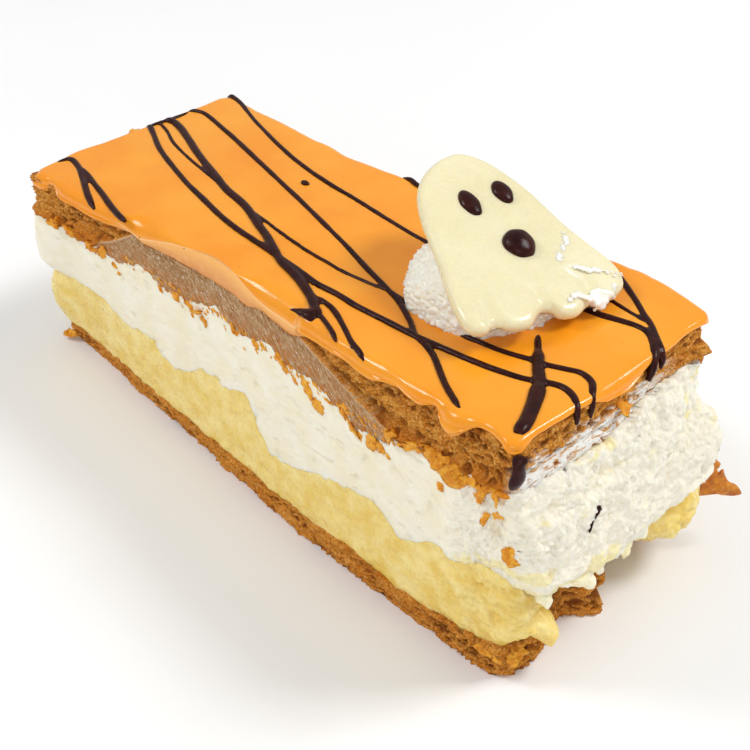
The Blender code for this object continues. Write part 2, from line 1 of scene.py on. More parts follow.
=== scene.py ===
"""Dresses the mille feuille slice: crumb, torn cream, custard, poured icing, chocolate and a ghost.

Sizes are in millimetres up to the point where a mesh is made. The layers follow the same edges as the
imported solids, at the scale of their crumb, and materials read marks that each layer's relief leaves.
"""

import math

import bmesh
import bpy
import numpy as np
from mathutils import Matrix, Vector
from mathutils.bvhtree import BVHTree

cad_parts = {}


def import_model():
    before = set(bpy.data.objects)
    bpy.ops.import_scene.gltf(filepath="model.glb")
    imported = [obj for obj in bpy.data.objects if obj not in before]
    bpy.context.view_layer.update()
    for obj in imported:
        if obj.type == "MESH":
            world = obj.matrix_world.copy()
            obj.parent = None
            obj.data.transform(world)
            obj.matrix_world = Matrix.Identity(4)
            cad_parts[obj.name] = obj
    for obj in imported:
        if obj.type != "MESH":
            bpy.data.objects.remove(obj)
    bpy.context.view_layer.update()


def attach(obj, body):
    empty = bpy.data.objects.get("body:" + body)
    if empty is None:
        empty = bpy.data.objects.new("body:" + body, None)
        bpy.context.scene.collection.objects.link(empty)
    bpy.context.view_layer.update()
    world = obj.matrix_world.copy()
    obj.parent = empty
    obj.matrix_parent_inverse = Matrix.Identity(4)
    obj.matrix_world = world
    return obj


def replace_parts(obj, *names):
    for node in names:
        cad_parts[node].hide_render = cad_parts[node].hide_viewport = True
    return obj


MM = 0.001

# The photograph's camera.
CAMERA_AT = (164.32, -144.35, 183.95)
CAMERA_AZIMUTH, CAMERA_ELEVATION, CAMERA_ROLL = 47.07, 37.61, -0.26
LENS, SENSOR = 66.7, 36.0

# The slice's nominal plan and levels, as in the solids.
HALF_LENGTH, HALF_WIDTH = 66.0, 24.0
CORNER_RADIUS = 2.2
WAVE_REACH = 12.0
TOP_AT_MIDDLE, TOP_RISE = 48.0, 4.0 / 65.0
ICING_THICKNESS = 1.2
CUSTARD_TOP = 19.0

# How finely the meshes are made: steps round the rim and where it is torn, rows of rings up each
# layer's wall, steps across the icing's top, cells that fuse loose bodies, and the gap that a seam closes.
RIM_STEP, NEAR_STEP = 0.4, 0.24
BASE_ROWS, CUSTARD_ROWS, CREAM_ROWS, TOP_ROWS = 26, 54, 82, 50
ICING_STEPS = 14
DRIZZLE_CELL, TATTER_CELL, HEM_CELL = 0.3, 0.22, 0.2
SEAM = 0.004

# How far a filling runs on into the layer below it.
FILLING_OVERLAP = 0.25

# The tongue of custard at the torn end: its Y, half width, length, droop, and share of the wall's height.
TONGUE_AT, TONGUE_HALF_WIDTH, TONGUE_LENGTH, TONGUE_DROOP = -15.5, 4.2, 4.2, 1.7
TONGUE_LEVEL, TONGUE_HALF_HEIGHT = 0.12, 0.42

# Where both fillings bulge: in X at the far end of the cut side, and in X and Y at the far corner.
LEFT_BULGE_X = (-58, -66)
RIGHT_BULGE_X, RIGHT_BULGE_Y = (54, 65), (10, 22)

# Where the knife starts and stops to cut the icing's lip flush, in X.
FLUSH_FROM, FLUSH_TO = (-39, -33), (17, 13)
LIP_RADIUS_MIN, LIP_RADIUS_MAX = 0.9, 1.9

DOLLOP_CENTRE, DOLLOP_RADIUS, DOLLOP_HEIGHT = (33.0, 4.0), 14.0, 10.5
DOLLOP_ROWS, DOLLOP_AROUND = 100, 340
GHOST_TILT, GHOST_TURN = 16.0, 17.0
GHOST_CENTRE = (27.4, 8.6, 60.3)
GHOST_THICKNESS, GHOST_CROWN = 2.6, 0.35
GHOST_FACE_LEVEL = GHOST_THICKNESS / 2 + 0.25

# Each light's name, place and width in metres, and power in watts.
LIGHTS = (
    ("key", (0.36, 0.45, 0.72), 0.26, 4.2),
    ("fill", (-0.5, -0.42, 0.66), 0.26, 2.5),
    ("front", (0.5, -0.62, 0.34), 0.5, 1.2),
)
LIGHTS_AIM = (0.0, 0.0, 0.03)
SKY_STRENGTH = 0.49
FLOOR_REACH = 3.0


def smooth_step(low, high, value):
    """0 below low, 1 above high, and a soft ramp between them."""
    t = np.clip((value - low) / (high - low), 0.0, 1.0)
    return t * t * (3.0 - 2.0 * t)


def bump(middle, reach, value):
    """A soft hump, 1 at the middle and 0 from reach away."""
    return 1.0 - smooth_step(0.0, reach, np.abs(value - middle))


def through(*knots):
    """A smooth curve through knots (position, height), level beyond the first and the last."""
    at, height = np.array(knots, float).T
    slope = np.gradient(height, at)

    def curve(value):
        value = np.clip(value, at[0], at[-1])
        i = np.clip(np.searchsorted(at, value, side="right") - 1, 0, len(at) - 2)
        span = at[i + 1] - at[i]
        t = (value - at[i]) / span
        start = height[i] * (1 + 2 * t) * (1 - t) ** 2 + slope[i] * span * t * (1 - t) ** 2
        end = height[i + 1] * t * t * (3 - 2 * t) - slope[i + 1] * span * t * t * (1 - t)
        return start + end

    return curve


def lattice(cells, seed):
    """A number from -1 to 1 for each whole-numbered cell, the same on every run."""
    mixed = cells @ np.array((374761393, 668265263, 2147483647)) + seed * 1274126177
    mixed &= 0xFFFFFFFF
    mixed = ((mixed ^ (mixed >> 13)) * 1274126177) & 0xFFFFFFFF
    return ((mixed ^ (mixed >> 16)) & 0xFFFF) / 32767.5 - 1.0


def noise(points, size, seed):
    """Smooth noise from -1 to 1 whose features are about size across, on each axis."""
    scaled = np.asarray(points, float) / size
    cell = np.floor(scaled).astype(np.int64)
    t = scaled - cell
    t = t * t * (3.0 - 2.0 * t)
    total = np.zeros(scaled.shape[:-1])
    for corner in np.ndindex(2, 2, 2):
        share = np.prod(np.where(corner, t, 1.0 - t), axis=-1)
        total += share * lattice(cell + np.array(corner), seed)
    return total


def rough(points, size, seed, octaves=4, fade=0.5):
    """Noise with finer noise on it, each octave half the size of the last."""
    size = np.array(size, float)
    total, weight = 0.0, 0.0
    for k in range(octaves):
        total = total + fade**k * noise(points, size / 2**k, seed + k)
        weight += fade**k
    return total / weight


def drift(points, size, seed, axes=3):
    """Smooth noise on each axis, to bend points by."""
    return np.stack([noise(points, size, seed + a) for a in range(1, axes + 1)], axis=-1)


def bubbles(points, size, seed):
    """Walls between cells about size across: 0 in the middle of a cell, 1 on the wall between two."""
    scaled = np.asarray(points, float) / size
    cell = np.floor(scaled).astype(np.int64)
    first = np.full(scaled.shape[:-1], 9.0)
    second = first.copy()
    for step in np.ndindex(3, 3, 3):
        near = cell + np.array(step) - 1
        away = scaled - near - 0.5
        for axis in range(3):
            away[..., axis] -= 0.45 * lattice(near, seed + 7 * axis)
        distance = np.sqrt((away**2).sum(axis=-1))
        second = np.minimum(second, np.maximum(first, distance))
        first = np.minimum(first, distance)
    return 1.0 - np.clip(second - first, 0.0, 1.0)


# The true edges of the slice against the nominal plan.
CUT_SIDE_BASE = through(
    (-68, -21.2), (-54, -21), (-42, -22.2), (-16, -23.7), (12, -25.5), (30, -25.8), (66, -23.9)
)
CUT_SIDE_TOP = through(
    (-68, -25.9), (-50, -24.6), (-30, -23.2), (-20, -22.2), (-9, -21.6), (4, -22.1), (40, -23.8),
    (66, -24.6)
)
FAR_SIDE = through(
    (-68, 25.4), (-40, 24.5), (-20, 23.4), (-8, 24.2), (20, 25.7), (42, 26.6), (52, 26.8), (60, 25.4),
    (66, 23.4)
)
NEAR_END = through((-24, 65.6), (-5, 66.2), (24, 65.4))
FAR_END = through((-24, -68.2), (0, -67.2), (24, -66.6))
BASE_BREAK = through(
    (-24, 0.2), (-14, 0), (-9.5, -2.2), (-5, -3), (-2.5, -0.6), (1.5, -0.2), (4, -5.5), (7, -8.5),
    (24, -9.5)
)
UNDER_TOP_PASTRY = through((-68, 33), (-40, 35.5), (0, 36), (35, 37), (55, 39.5), (66, 41.5))
OVER_BOTTOM_PASTRY = through((-68, 4.6), (-30, 4.7), (10, 4.9), (32, 6), (48, 5.3), (58, 6.4), (66, 8))

# The top edge of what the knife wiped flat, on the cut side and on the hidden side.
CUT_ARC = through(
    (-48, 34), (-45, 36.5), (-42, 38), (-38, 40.5), (-34, 43), (-28, 46), (-10, 50), (5, 50), (9, 48),
    (12, 45.6), (13.5, 44.8), (17, 43.9), (20.6, 42.9), (27, 41), (33, 39.6), (40, 37.6), (44, 35.8),
    (48, 33)
)
FAR_ARC = through(
    (-68, 34), (-58, 38), (-45, 40.5), (-30, 39), (-14, 41.5), (4, 44.5), (20, 42.5), (36, 39.5),
    (50, 36), (66, 34)
)


def top_level(x):
    """Height of the icing's surface: the slice stands a little taller at its torn end."""
    return TOP_AT_MIDDLE + TOP_RISE * x


def custard_level(x):
    """Height of the custard's top, before its waves."""
    return np.full_like(x, CUSTARD_TOP)


def ground_level(x):
    """Height of what the slice stands on."""
    return np.zeros_like(x)


def under_icing(x):
    """Height of the icing's underside."""
    return top_level(x) - ICING_THICKNESS


def to_plan(x, y, z):
    """The place in the real slice of a point of the nominal plan."""
    rise = np.clip(z / top_level(x), 0.0, 1.0)
    cut_side = CUT_SIDE_BASE(x) * (1 - rise) + CUT_SIDE_TOP(x) * rise
    across = np.where(y < 0, -cut_side, FAR_SIDE(x)) / HALF_WIDTH
    along = np.where(x < 0, -FAR_END(y), NEAR_END(y)) / HALF_LENGTH
    return x * along, y * across


class Rim:
    """Points round the nominal plan, from the middle of the far end, mirrored about the X axis."""

    def __init__(self):
        end = HALF_WIDTH - CORNER_RADIUS
        side = 2 * (HALF_LENGTH - CORNER_RADIUS)
        arc = CORNER_RADIUS * math.pi / 2
        half = 2 * end + side + 2 * arc
        points, normals = [], []
        fine_from = half - end - arc - 16.0
        coarse = np.linspace(0.0, fine_from, round(fine_from / RIM_STEP) + 1)[:-1]
        fine = np.linspace(fine_from, half, round((half - fine_from) / NEAR_STEP) + 1)
        for s in np.concatenate((coarse, fine)):
            place, normal = self.at(s, end, side, arc)
            points.append(place)
            normals.append(normal)
        mirror = np.array((1.0, -1.0))
        self.points = np.array(points + [mirror * p for p in points[-2:0:-1]])
        self.normals = np.array(normals + [mirror * n for n in normals[-2:0:-1]])
        self.x, self.y = self.points.T
        self.nx, self.ny = self.normals.T
        self.count = len(self.x)
        size = np.array((HALF_LENGTH, HALF_WIDTH))
        reach = WAVE_REACH + CORNER_RADIUS
        share = np.clip((np.abs(self.points) - size) / reach + 1.0, 0.0, 1.0)
        self.outward = np.sign(self.points) * share
        self.flat = np.stack((self.x, self.y, np.zeros_like(self.x)), axis=1)

    @staticmethod
    def at(s, end, side, arc):
        """Place and outward direction at length s of the half of the rim that has Y below 0."""
        inner = np.array((HALF_LENGTH - CORNER_RADIUS, HALF_WIDTH - CORNER_RADIUS))
        if s <= end:
            return np.array((-HALF_LENGTH, -s)), np.array((-1.0, 0.0))
        s -= end
        if s <= arc:
            turn = s / CORNER_RADIUS
            out = np.array((-math.cos(turn), -math.sin(turn)))
            return -inner + CORNER_RADIUS * out, out
        s -= arc
        if s <= side:
            return np.array((s - inner[0], -HALF_WIDTH)), np.array((0.0, -1.0))
        s -= side
        if s <= arc:
            turn = s / CORNER_RADIUS
            out = np.array((math.sin(turn), -math.cos(turn)))
            return inner * (1, -1) + CORNER_RADIUS * out, out
        return np.array((HALF_LENGTH, s - arc - inner[1])), np.array((1.0, 0.0))

    def blend(self, cut_side=0.0, far_side=0.0, near_end=0.0, far_end=0.0):
        """One value for each side, mixed round the corners."""
        return (
            np.where(self.ny < 0, self.ny**2, 0) * cut_side
            + np.where(self.ny > 0, self.ny**2, 0) * far_side
            + np.where(self.nx > 0, self.nx**2, 0) * near_end
            + np.where(self.nx < 0, self.nx**2, 0) * far_end
        )

    def place(self, offset):
        """X and Y in the nominal plan, offset outside the rim. Inward, the corners draw together."""
        offset = np.asarray(offset)[..., None]
        moved = self.points + offset * np.where(offset > 0, self.normals, self.outward)
        return moved[..., 0], moved[..., 1]

    def outside(self, points, offset):
        """Points of the wall, moved outward."""
        away = np.column_stack((self.normals, np.zeros(self.count)))
        return points + np.asarray(offset)[..., None] * away

    def closing(self, level, steps):
        """Rings that go on inward from the deepest one and close on the slice's centre line."""
        x, y = self.place(-WAVE_REACH)
        share = np.linspace(0, 1, steps + 1)[1:, None]
        shorter = share * WAVE_REACH / (HALF_LENGTH - WAVE_REACH)
        x, y = np.broadcast_arrays(x * (1 - shorter), y * (1 - share))
        z = level(x)
        x, y = to_plan(x, y, z)
        return np.stack((x, y, z), axis=-1)

    def rings(self, offset, z):
        """Points of the slice that lie offset outside the rim at heights z, with one row for each ring."""
        offset, z = np.broadcast_arrays(offset, z)
        x, y = self.place(offset)
        x, y = to_plan(x, y, z)
        return np.stack(np.broadcast_arrays(x, y, z), axis=-1)


def edge_waves(rim):
    """How far the edges between layers stray up and down at the rim: pastry foot, custard, cream."""
    flat = rim.flat
    ragged = rough(flat, (2.8,) * 3, 81, 4)
    custard = rim.blend(
        cut_side=through(
            (-66, 0), (-50, 1.2), (-45, 0.8), (-42, -0.9), (-31, -0.2), (-28, -2.0), (-20, -2.0),
            (-15, 1.8), (-8, 1.2), (0, 2.9), (3, -2.0), (20, -1.6), (31, 1.4), (37, 1.4), (42, -1.6),
            (46, -0.6), (50, 2.0), (55, 1.6), (60, 4.4), (64, 5.4),
        )(rim.x),
        far_side=1.6 * noise(flat, 9.0, 11),
        near_end=through(
            (-24, 5.0), (-20.5, 0.5), (-17, -2.5), (-10, -2.5), (-6, -6), (0, -5), (8, -4), (24, -0.5)
        )(rim.y),
        far_end=1.2 * noise(flat, 7.0, 12),
    )
    custard += ragged * (0.75 + rim.blend(near_end=1.0))
    sag = through((-24, 0), (3, 0.5), (6, 0.5), (9, -2), (11.5, -0.5), (16, -2), (24, -3.6))(rim.y)
    crust_foot = 0.5 * noise(flat, 6.0, 13) + 0.35 * noise(flat, 2.6, 14) + rim.blend(near_end=sag)
    crust_foot += rim.blend(0.3, 0.3, 0.9, 0.3) * rough(flat, (1.6,) * 3, 82, 2)
    pastry_foot = rim.blend(
        cut_side=through(
            (-66, 1.3), (-59, 0.8), (-53, 0), (-50, -0.8), (-46, -0.8), (-42, -1.4), (-39, -1.8),
            (-33, 0.4), (-29.6, -0.1), (-26.6, -1.2), (-23.6, -2), (-20, -1.5), (-12.6, 0.8),
            (-9.9, 1.9), (-7.6, 0.7), (0.5, 0.2), (6.2, 1.6), (14.6, 0.3), (17.6, 1), (21, 0.2),
            (27.8, -1.4), (32.3, -2.3), (37, -1.5), (41, -0.3), (66, 0.4),
        )(rim.x),
        near_end=through(
            (-24, 0.8), (-9, 0.8), (0, 1.7), (5, 3.2), (10, 4.0), (14, 4.2), (18, 3.0), (24, 1.4)
        )(rim.y),
        far_side=0.9 * noise(flat, 7.0, 15),
        far_end=0.9 * noise(flat, 7.0, 16),
    )
    pastry_foot += 1.1 * np.minimum(0.25, rough(flat, (2.0,) * 3, 83, 4))
    return crust_foot, custard, pastry_foot


def make_object(name, points, faces, material, marks=None):
    """An object whose mesh has these points, given in millimetres, and these marks, one value a point."""
    mesh = bpy.data.meshes.new(name)
    mesh.from_pydata(np.asarray(points) * MM, [], faces)
    mesh.shade_smooth()
    for mark, values in (marks or {}).items():
        mesh.attributes.new(mark, "FLOAT", "POINT").data.foreach_set("value", np.ravel(values))
    mesh.materials.append(material)
    made = bpy.data.objects.new(name, mesh)
    bpy.context.scene.collection.objects.link(made)
    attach(made, "root")
    return made


def band_faces(first, rings, count):
    """Quads between successive closed rings of count points."""
    k = np.arange(count)
    after = (k + 1) % count
    faces = []
    for r in range(rings - 1):
        low, high = first + r * count, first + (r + 1) * count
        faces.append(np.stack((low + k, low + after, high + after, high + k), axis=1))
    return np.concatenate(faces)


def same(points):
    """Leaves points where they are."""
    return points


def close_seams(made):
    """Joins the points where a skin meets itself on the centre line."""
    sewn = bmesh.new()
    sewn.from_mesh(made.data)
    bmesh.ops.remove_doubles(sewn, verts=sewn.verts, dist=SEAM * MM)
    sewn.to_mesh(made.data)
    sewn.free()


def skin(name, rings, material, marks, outward=True):
    """An object from closed rings of points, each mark given as one row of values for each ring."""
    count = rings.shape[1]
    faces = band_faces(0, len(rings), count)
    faces = faces if outward else faces[:, ::-1]
    made = make_object(name, rings.reshape(-1, 3), faces.tolist(), material, marks)
    close_seams(made)
    return made


def layer(name, rim, edges, rows, relief, material, under=same, steps=1):
    """A layer of the slice between two edges.

    edges are its lower and upper level, each a function of X and a wave at the rim. relief takes the
    wall's points and height shares and returns how far each stands out, how far it is lifted and marks.
    """
    (low, low_wave), (high, high_wave) = edges
    t = np.linspace(0, 1, rows)[:, None]
    foot, head = low(rim.x) + low_wave, high(rim.x) + high_wave
    z = foot + (head - foot) * t
    offset, lift, marks = relief(rim.rings(0.0, z), t)
    wall = rim.rings(offset, z + lift)
    inner_x = rim.place(-WAVE_REACH)[0]
    bottom, top = (rim.rings(-WAVE_REACH, level(inner_x))[None] for level in (low, high))
    below = under(np.concatenate((rim.closing(low, steps)[::-1], bottom)))
    rings = np.concatenate((below, wall, top, rim.closing(high, 1)))
    spread = {}
    for mark, values in marks.items():
        values = np.broadcast_to(values, z.shape)
        first, last = np.repeat(values[:1], len(below), 0), np.repeat(values[-1:], 2, 0)
        spread[mark] = np.concatenate((first, values, last))
    return skin(name, rings, material, spread)


def crumb(points, seed):
    """Relief of torn puff pastry in millimetres, and its painted shade: 1 in its gaps and hollows."""
    bent = points + 0.45 * drift(points, 2.0, seed)
    holes = bubbles(bent, (2.8, 2.8, 1.5), seed + 11)
    lumps = bubbles(bent, (1.05, 1.05, 0.8), seed + 12)
    sheets = noise(bent, (8.0, 8.0, 1.1), seed + 13)
    relief = 1.7 * (holes - 0.78) + 0.9 * (0.72 - lumps) + 0.4 * sheets
    return relief, smooth_step(0.15, -0.6, relief)


# The direction in which the knife wiped the cut side, in X and Z, and as a turn in degrees about Y.
WIPE = np.array((0.74, -0.67))
WIPE_TURN = -42.0


def wiped_scratches(points, seed):
    """Fine scratches along the wipe of the knife."""
    along = points[..., 0] * WIPE[0] + points[..., 2] * WIPE[1]
    across = points[..., 2] * WIPE[0] - points[..., 0] * WIPE[1]
    return rough(np.stack((along, across, points[..., 1]), axis=-1), (3.5, 0.5, 9.0), seed, 3)


def top_pastry(rim, waves, material):
    """The upper sheet. The knife wiped it flat under an arc, and it is torn and set back elsewhere."""

    def relief(points, t):
        x, y, z = np.moveaxis(points, -1, 0)
        edge = 0.35 * rough(points, (2.5,) * 3, 301, 3)
        above = z - np.where(rim.ny < 0, CUT_ARC(x), FAR_ARC(x)) - edge
        on_side = np.abs(rim.ny) > 0.7
        wiped = np.where(on_side, smooth_step(0.08, -0.08, above), 0.0)
        film = np.where(on_side, smooth_step(-0.24, -0.34, above), 0.0)
        torn, hollow = crumb(points, 310)
        corner = smooth_step(-57, -64, x) * (y < -15)
        beside = smooth_step(11, 15, x) * on_side
        beside = beside * smooth_step(1.6, 0.4, above) * smooth_step(0.0, 0.1, above)
        set_back = rim.blend(-0.3 - 0.5 * smooth_step(-54, -40, x), -1.2, -0.4, -0.3)
        set_back = set_back + 0.2 * corner - 0.6 * beside
        # The caramel seam: a crevice with a ledge of glazed crust beneath it.
        seam_z = UNDER_TOP_PASTRY(x) + 3.0 + 0.9 * noise(points, (14.0, 14.0, 90.0), 331)
        open_here = smooth_step(-0.3, 0.25, noise(points, (9.0, 9.0, 30.0), 330))
        crevice = bump(0.0, 0.9, z - seam_z) * open_here
        ledge = smooth_step(0.2, 1.4, seam_z - z)
        fall = rough(points, (4.5, 4.5, 2.5), 333, 3)
        spike = 2.2 * bump(22.0, 4.5, y) * bump(0.35, 0.35, t) * np.clip(rim.nx, 0, 1)
        natural = set_back + torn * rim.blend(1.0, 1.0, 0.65, 1.0) - 1.9 * crevice
        natural = natural + ledge * (1.2 + 0.9 * fall) + spike
        scratch = wiped_scratches(points, 320)
        offset = natural * (1 - wiped) + (0.05 + 0.12 * scratch) * wiped
        covered = smooth_step(-0.1, 0.25, z - under_icing(x) + lip_drop(rim)) * (1 - corner)
        offset += (np.minimum(offset, -0.5 - 0.7 * np.maximum(rolled_down(rim), 0)) - offset) * covered
        strands = rough(points, (3.0, 5.0, 0.7), 340, 4)
        smeared = rim.blend(near_end=1.0) * smooth_step(0.0, 0.12, 0.52 - t + 0.4 * strands)
        smeared = smeared * smooth_step(16.0, 4.0, y) * smooth_step(-0.9, -0.3, torn)
        marks = {
            "wiped": film,
            # Painted shade in the crumb's hollows, and painted shadow on the recessed crumb beside the
            # arc, under the icing's lip.
            "hollow": np.maximum(0.8 * hollow, 0.7 * beside) * (1 - wiped) * (1 - 0.8 * smeared),
            "glaze": ledge * (1 - wiped),
            "cream": smeared,
            "brink": bump(-0.4, 0.3, above) * on_side,
            "height": t,
        }
        lift = 0.3 * noise(points, (1.8,) * 3, 350) * (1 - wiped)
        return offset * (1 - 0.6 * smeared) + 0.25 * smeared, lift, marks

    edges = ((UNDER_TOP_PASTRY, waves[2]), (under_icing, 0.0))
    made = layer("top_pastry_crumb", rim, edges, TOP_ROWS, relief, material)
    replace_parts(made, "top_pastry")
    return made


def bottom_pastry(rim, waves, material):
    """The thin base sheet, puffed and torn at the near end and broken away towards its far corner."""

    def relief(points, t):
        x, y, _ = np.moveaxis(points, -1, 0)
        torn, hollow = crumb(points * (1.0, 1.0, 1.2), 410)
        loose = smooth_step(46, 58, x)
        pressed = rim.blend(0.3, 0.3, 0.0, 0.2) * (1 - loose)
        broken = BASE_BREAK(rim.y) * np.clip(rim.nx, 0, 1) ** 2
        corner = smooth_step(53.0, 62.0, x) * (rim.ny > 0.2)
        caves = loose * smooth_step(0.1, 0.5, noise(points, (4.0, 4.0, 2.4), 430)) * bump(0.55, 0.42, t)
        offset = torn * (1 - pressed) + broken - 1.5 * corner - 2.0 * caves
        offset += 0.2 + 0.3 * loose * (y < -8) - 0.5 * (1 - t) ** 3
        offset += rim.blend(0.5, 0.5, 0.9, 0.5) * rough(points, (4.5, 4.5, 3.0), 431, 3)
        wiped = smooth_step(0.5, 0.75, t + 0.5 * rough(points, (3.4, 3.4, 1.2), 432, 3))
        wiped = wiped * rim.blend(1.0, 1.0) * (1 - smooth_step(40, 54, x))
        nothing = np.zeros_like(x)
        marks = {
            "wiped": 0.6 * wiped,
            # Painted shade in the crumb's hollows and in the caves at the torn end.
            "hollow": np.clip(hollow * (1 - 0.5 * wiped) + caves, 0, 1),
            "glaze": 0.3 + nothing,
            "cream": nothing,
            "brink": nothing,
            "height": 0.5 + nothing,
        }
        return offset, 0.3 * loose * noise(points, (1.8,) * 3, 434) * bump(0.5, 0.5, t), marks

    def underside(points):
        points[..., 2] = 0.12 * (1 + noise(points, (4.0, 4.0, 9.0), 441))
        return points

    edges = ((ground_level, 0.0), (OVER_BOTTOM_PASTRY, waves[0]))
    made = layer("bottom_pastry_crumb", rim, edges, BASE_ROWS, relief, material, under=underside, steps=8)
    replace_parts(made, "bottom_pastry")
    return made


def left_corner(rim, x):
    """1 at the far end of the cut side, where both fillings bulge a little."""
    return smooth_step(*LEFT_BULGE_X, x) * (rim.ny < -0.2)


def right_corner(x, y):
    """1 at the far corner of the torn end, where both fillings are squeezed out."""
    return smooth_step(*RIGHT_BULGE_X, x) * smooth_step(*RIGHT_BULGE_Y, y)


def custard(rim, waves, material):
    """Yellow custard, smooth where it is cut and squeezed out in a tongue at the torn end."""

    def relief(points, t):
        x, y, _ = np.moveaxis(points, -1, 0)
        loose = np.clip(rim.blend(0.0, 0.1, 1.0, 0.6) + smooth_step(46, 60, x), 0, 1)
        swell = np.sin(np.pi * t) ** 0.6
        near = through(
            (-24, 1.4), (-19, 2.0), (-15, 0.6), (-11, -2.0), (8, -1.6), (11, 2.0), (24, 2.4)
        )(rim.y)
        bulge = swell * rim.blend(0.0, 0.8, near, 2.2)
        bulge += 1.4 * swell * left_corner(rim, x) + 3.2 * swell * right_corner(x, y)
        undercut = through(
            (-24, 0), (-18, 0), (-14, -1.5), (-11, -4.5), (8, -5.5), (13, -3), (24, -2.5)
        )(rim.y)
        bulge += rim.blend(near_end=1.0) * undercut * (1 - t) ** 0.8
        tongue = bump(TONGUE_AT, TONGUE_HALF_WIDTH, y) * np.clip(rim.nx, 0, 1) ** 2
        tongue = smooth_step(0.0, 0.75, tongue * bump(TONGUE_LEVEL, TONGUE_HALF_HEIGHT, t))
        bulge += TONGUE_LENGTH * tongue
        out = rim.outside(points, bulge)
        wild = 1.5 * rough(out, (4.0, 4.0, 2.6), 510, 4) + 0.8 * (0.7 - bubbles(out, (2.0, 2.0, 1.2), 515))
        wild = wild + 0.5 * wiped_scratches(out * 0.7, 518) * (rim.ny < -0.3)
        cut = 0.25 * rough(points, (2.2, 2.2, 1.4), 521, 2)
        offset = bulge + loose * wild * (0.35 + 0.65 * swell) + (1 - loose) * cut
        lift = -TONGUE_DROOP * tongue + 0.5 * loose * noise(points, (2.0,) * 3, 530)
        # Painted shade marks the hollows of the loose custard.
        return offset, lift, {"loose": loose, "hollow": np.clip(-wild, 0, 1) * loose}

    edges = ((OVER_BOTTOM_PASTRY, waves[0] - FILLING_OVERLAP), (custard_level, waves[1]))
    made = layer("custard_filling", rim, edges, CUSTARD_ROWS, relief, material)
    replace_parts(made, "custard")
    return made


# Long shallow dents that the knife left in the cream: start and end, as X and Z.
CREAM_DENTS = (
    ((20.5, 27.2), (24.6, 25.8)), ((24.0, 27.6), (27.6, 26.6)), ((38.6, 32.2), (43.4, 29.0)),
    ((11.6, 29.3), (14.6, 28.7)), ((-31.0, 29.0), (-28.5, 28.2)), ((2.0, 26.5), (4.0, 26.0)),
    ((49.0, 31.0), (51.5, 28.5)), ((-6.0, 29.6), (-4.0, 29.0)),
)


def cream_dents(points):
    """1 along the middle of each long dent of the cut side."""
    place = points[..., (0, 2)]
    depth = np.zeros(points.shape[:-1])
    for start, end in np.array(CREAM_DENTS):
        along = end - start
        t = np.clip((place - start) @ along / (along @ along), 0, 1)
        apart = np.linalg.norm(place - start - t[..., None] * along, axis=-1)
        depth = np.maximum(depth, np.exp(-(apart / 0.42) ** 2) * (points[..., 1] < 0))
    return depth


def foam(points):
    """Relief of torn whipped cream: folds, curds, and in places the walls of its bubbles."""
    bent = points + 0.8 * drift(points, 3.0, 604)
    folds = 1.0 - 2.0 * np.abs(noise(bent, (5.5, 5.5, 3.4), 610))
    curdy = 2 * smooth_step(-0.25, 0.25, noise(points, (11.0, 11.0, 8.0), 612)) - 1
    curds = 0.72 - bubbles(bent, (1.9, 1.9, 1.5), 620)
    fine = 0.72 - bubbles(bent, (0.95, 0.95, 0.8), 621)
    base = 0.8 * rough(bent, (8.0, 8.0, 5.5), 630, 2) + 0.5 * folds
    return base + (0.9 * curds + 0.6 * fine) * curdy + 0.8 * rough(points, (1.7,) * 3, 640, 3)


def whipped_cream(rim, waves, material):
    """White cream, wiped flat along the cut and torn into peaks where it bulges out of the end."""

    def relief(points, t):
        x, y, _ = np.moveaxis(points, -1, 0)
        ragged = x + 2.5 * rough(points, (5.0,) * 3, 600, 3)
        loose = rim.blend(0.0, 0.05, 1.0, 0.55) + smooth_step(50, 57, ragged) * (rim.ny < 0)
        loose = np.clip(loose, 0, 1)
        swell = through((0, 0), (0.12, 0.8), (0.35, 1.0), (0.62, 0.9), (0.85, 0.6), (1, 0.25))(t)
        near = through((-24, 3.0), (-18, 4.0), (0, 4.4), (14, 4.2), (24, 2.6))(rim.y)
        bulge = swell * rim.blend(0.0, 0.9, near, 2.2)
        bulge += 1.6 * swell * left_corner(rim, x)
        squeezed = through((0, 2.4), (0.25, 2.6), (0.45, 3.2), (0.6, 0.9), (0.78, -1.6), (1, -0.8))(t)
        bulge += squeezed * right_corner(x, y)
        torn = foam(rim.outside(points, bulge))
        torn = torn + 0.45 * wiped_scratches(points * 0.8, 644) * (rim.ny < -0.3)
        cut = 0.2 * rough(points, (1.6, 1.6, 1.0), 642, 2) - 0.5 * cream_dents(points)
        cut -= 0.45 * smooth_step(0.5, 0.75, noise(points, (2.2, 2.2, 1.1), 643))
        offset = bulge + loose * torn * np.minimum(1, 0.35 + 2.5 * swell) + (1 - loose) * cut
        lift = 0.6 * loose * noise(points, (2.2,) * 3, 650)
        low = smooth_step(0.42, 0.1, t) * smooth_step(52, 64, x) * smooth_step(8.0, -6.0, y)
        stain = rough(points, (5.0, 4.0, 2.0), 660, 4) + 0.5 * low + 0.1 * (t > 0.7)
        marks = {
            "loose": loose,
            "stain": loose * smooth_step(0.34, 0.6, stain),
            # Painted shade in the hollows of the torn cream.
            "hollow": np.clip(-0.8 * torn, 0, 1) * loose,
        }
        return offset, lift, marks

    edges = ((custard_level, waves[1] - FILLING_OVERLAP), (UNDER_TOP_PASTRY, waves[2] + 0.2))
    made = layer("whipped_cream_filling", rim, edges, CREAM_ROWS, relief, material)
    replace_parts(made, "whipped_cream")
    return made


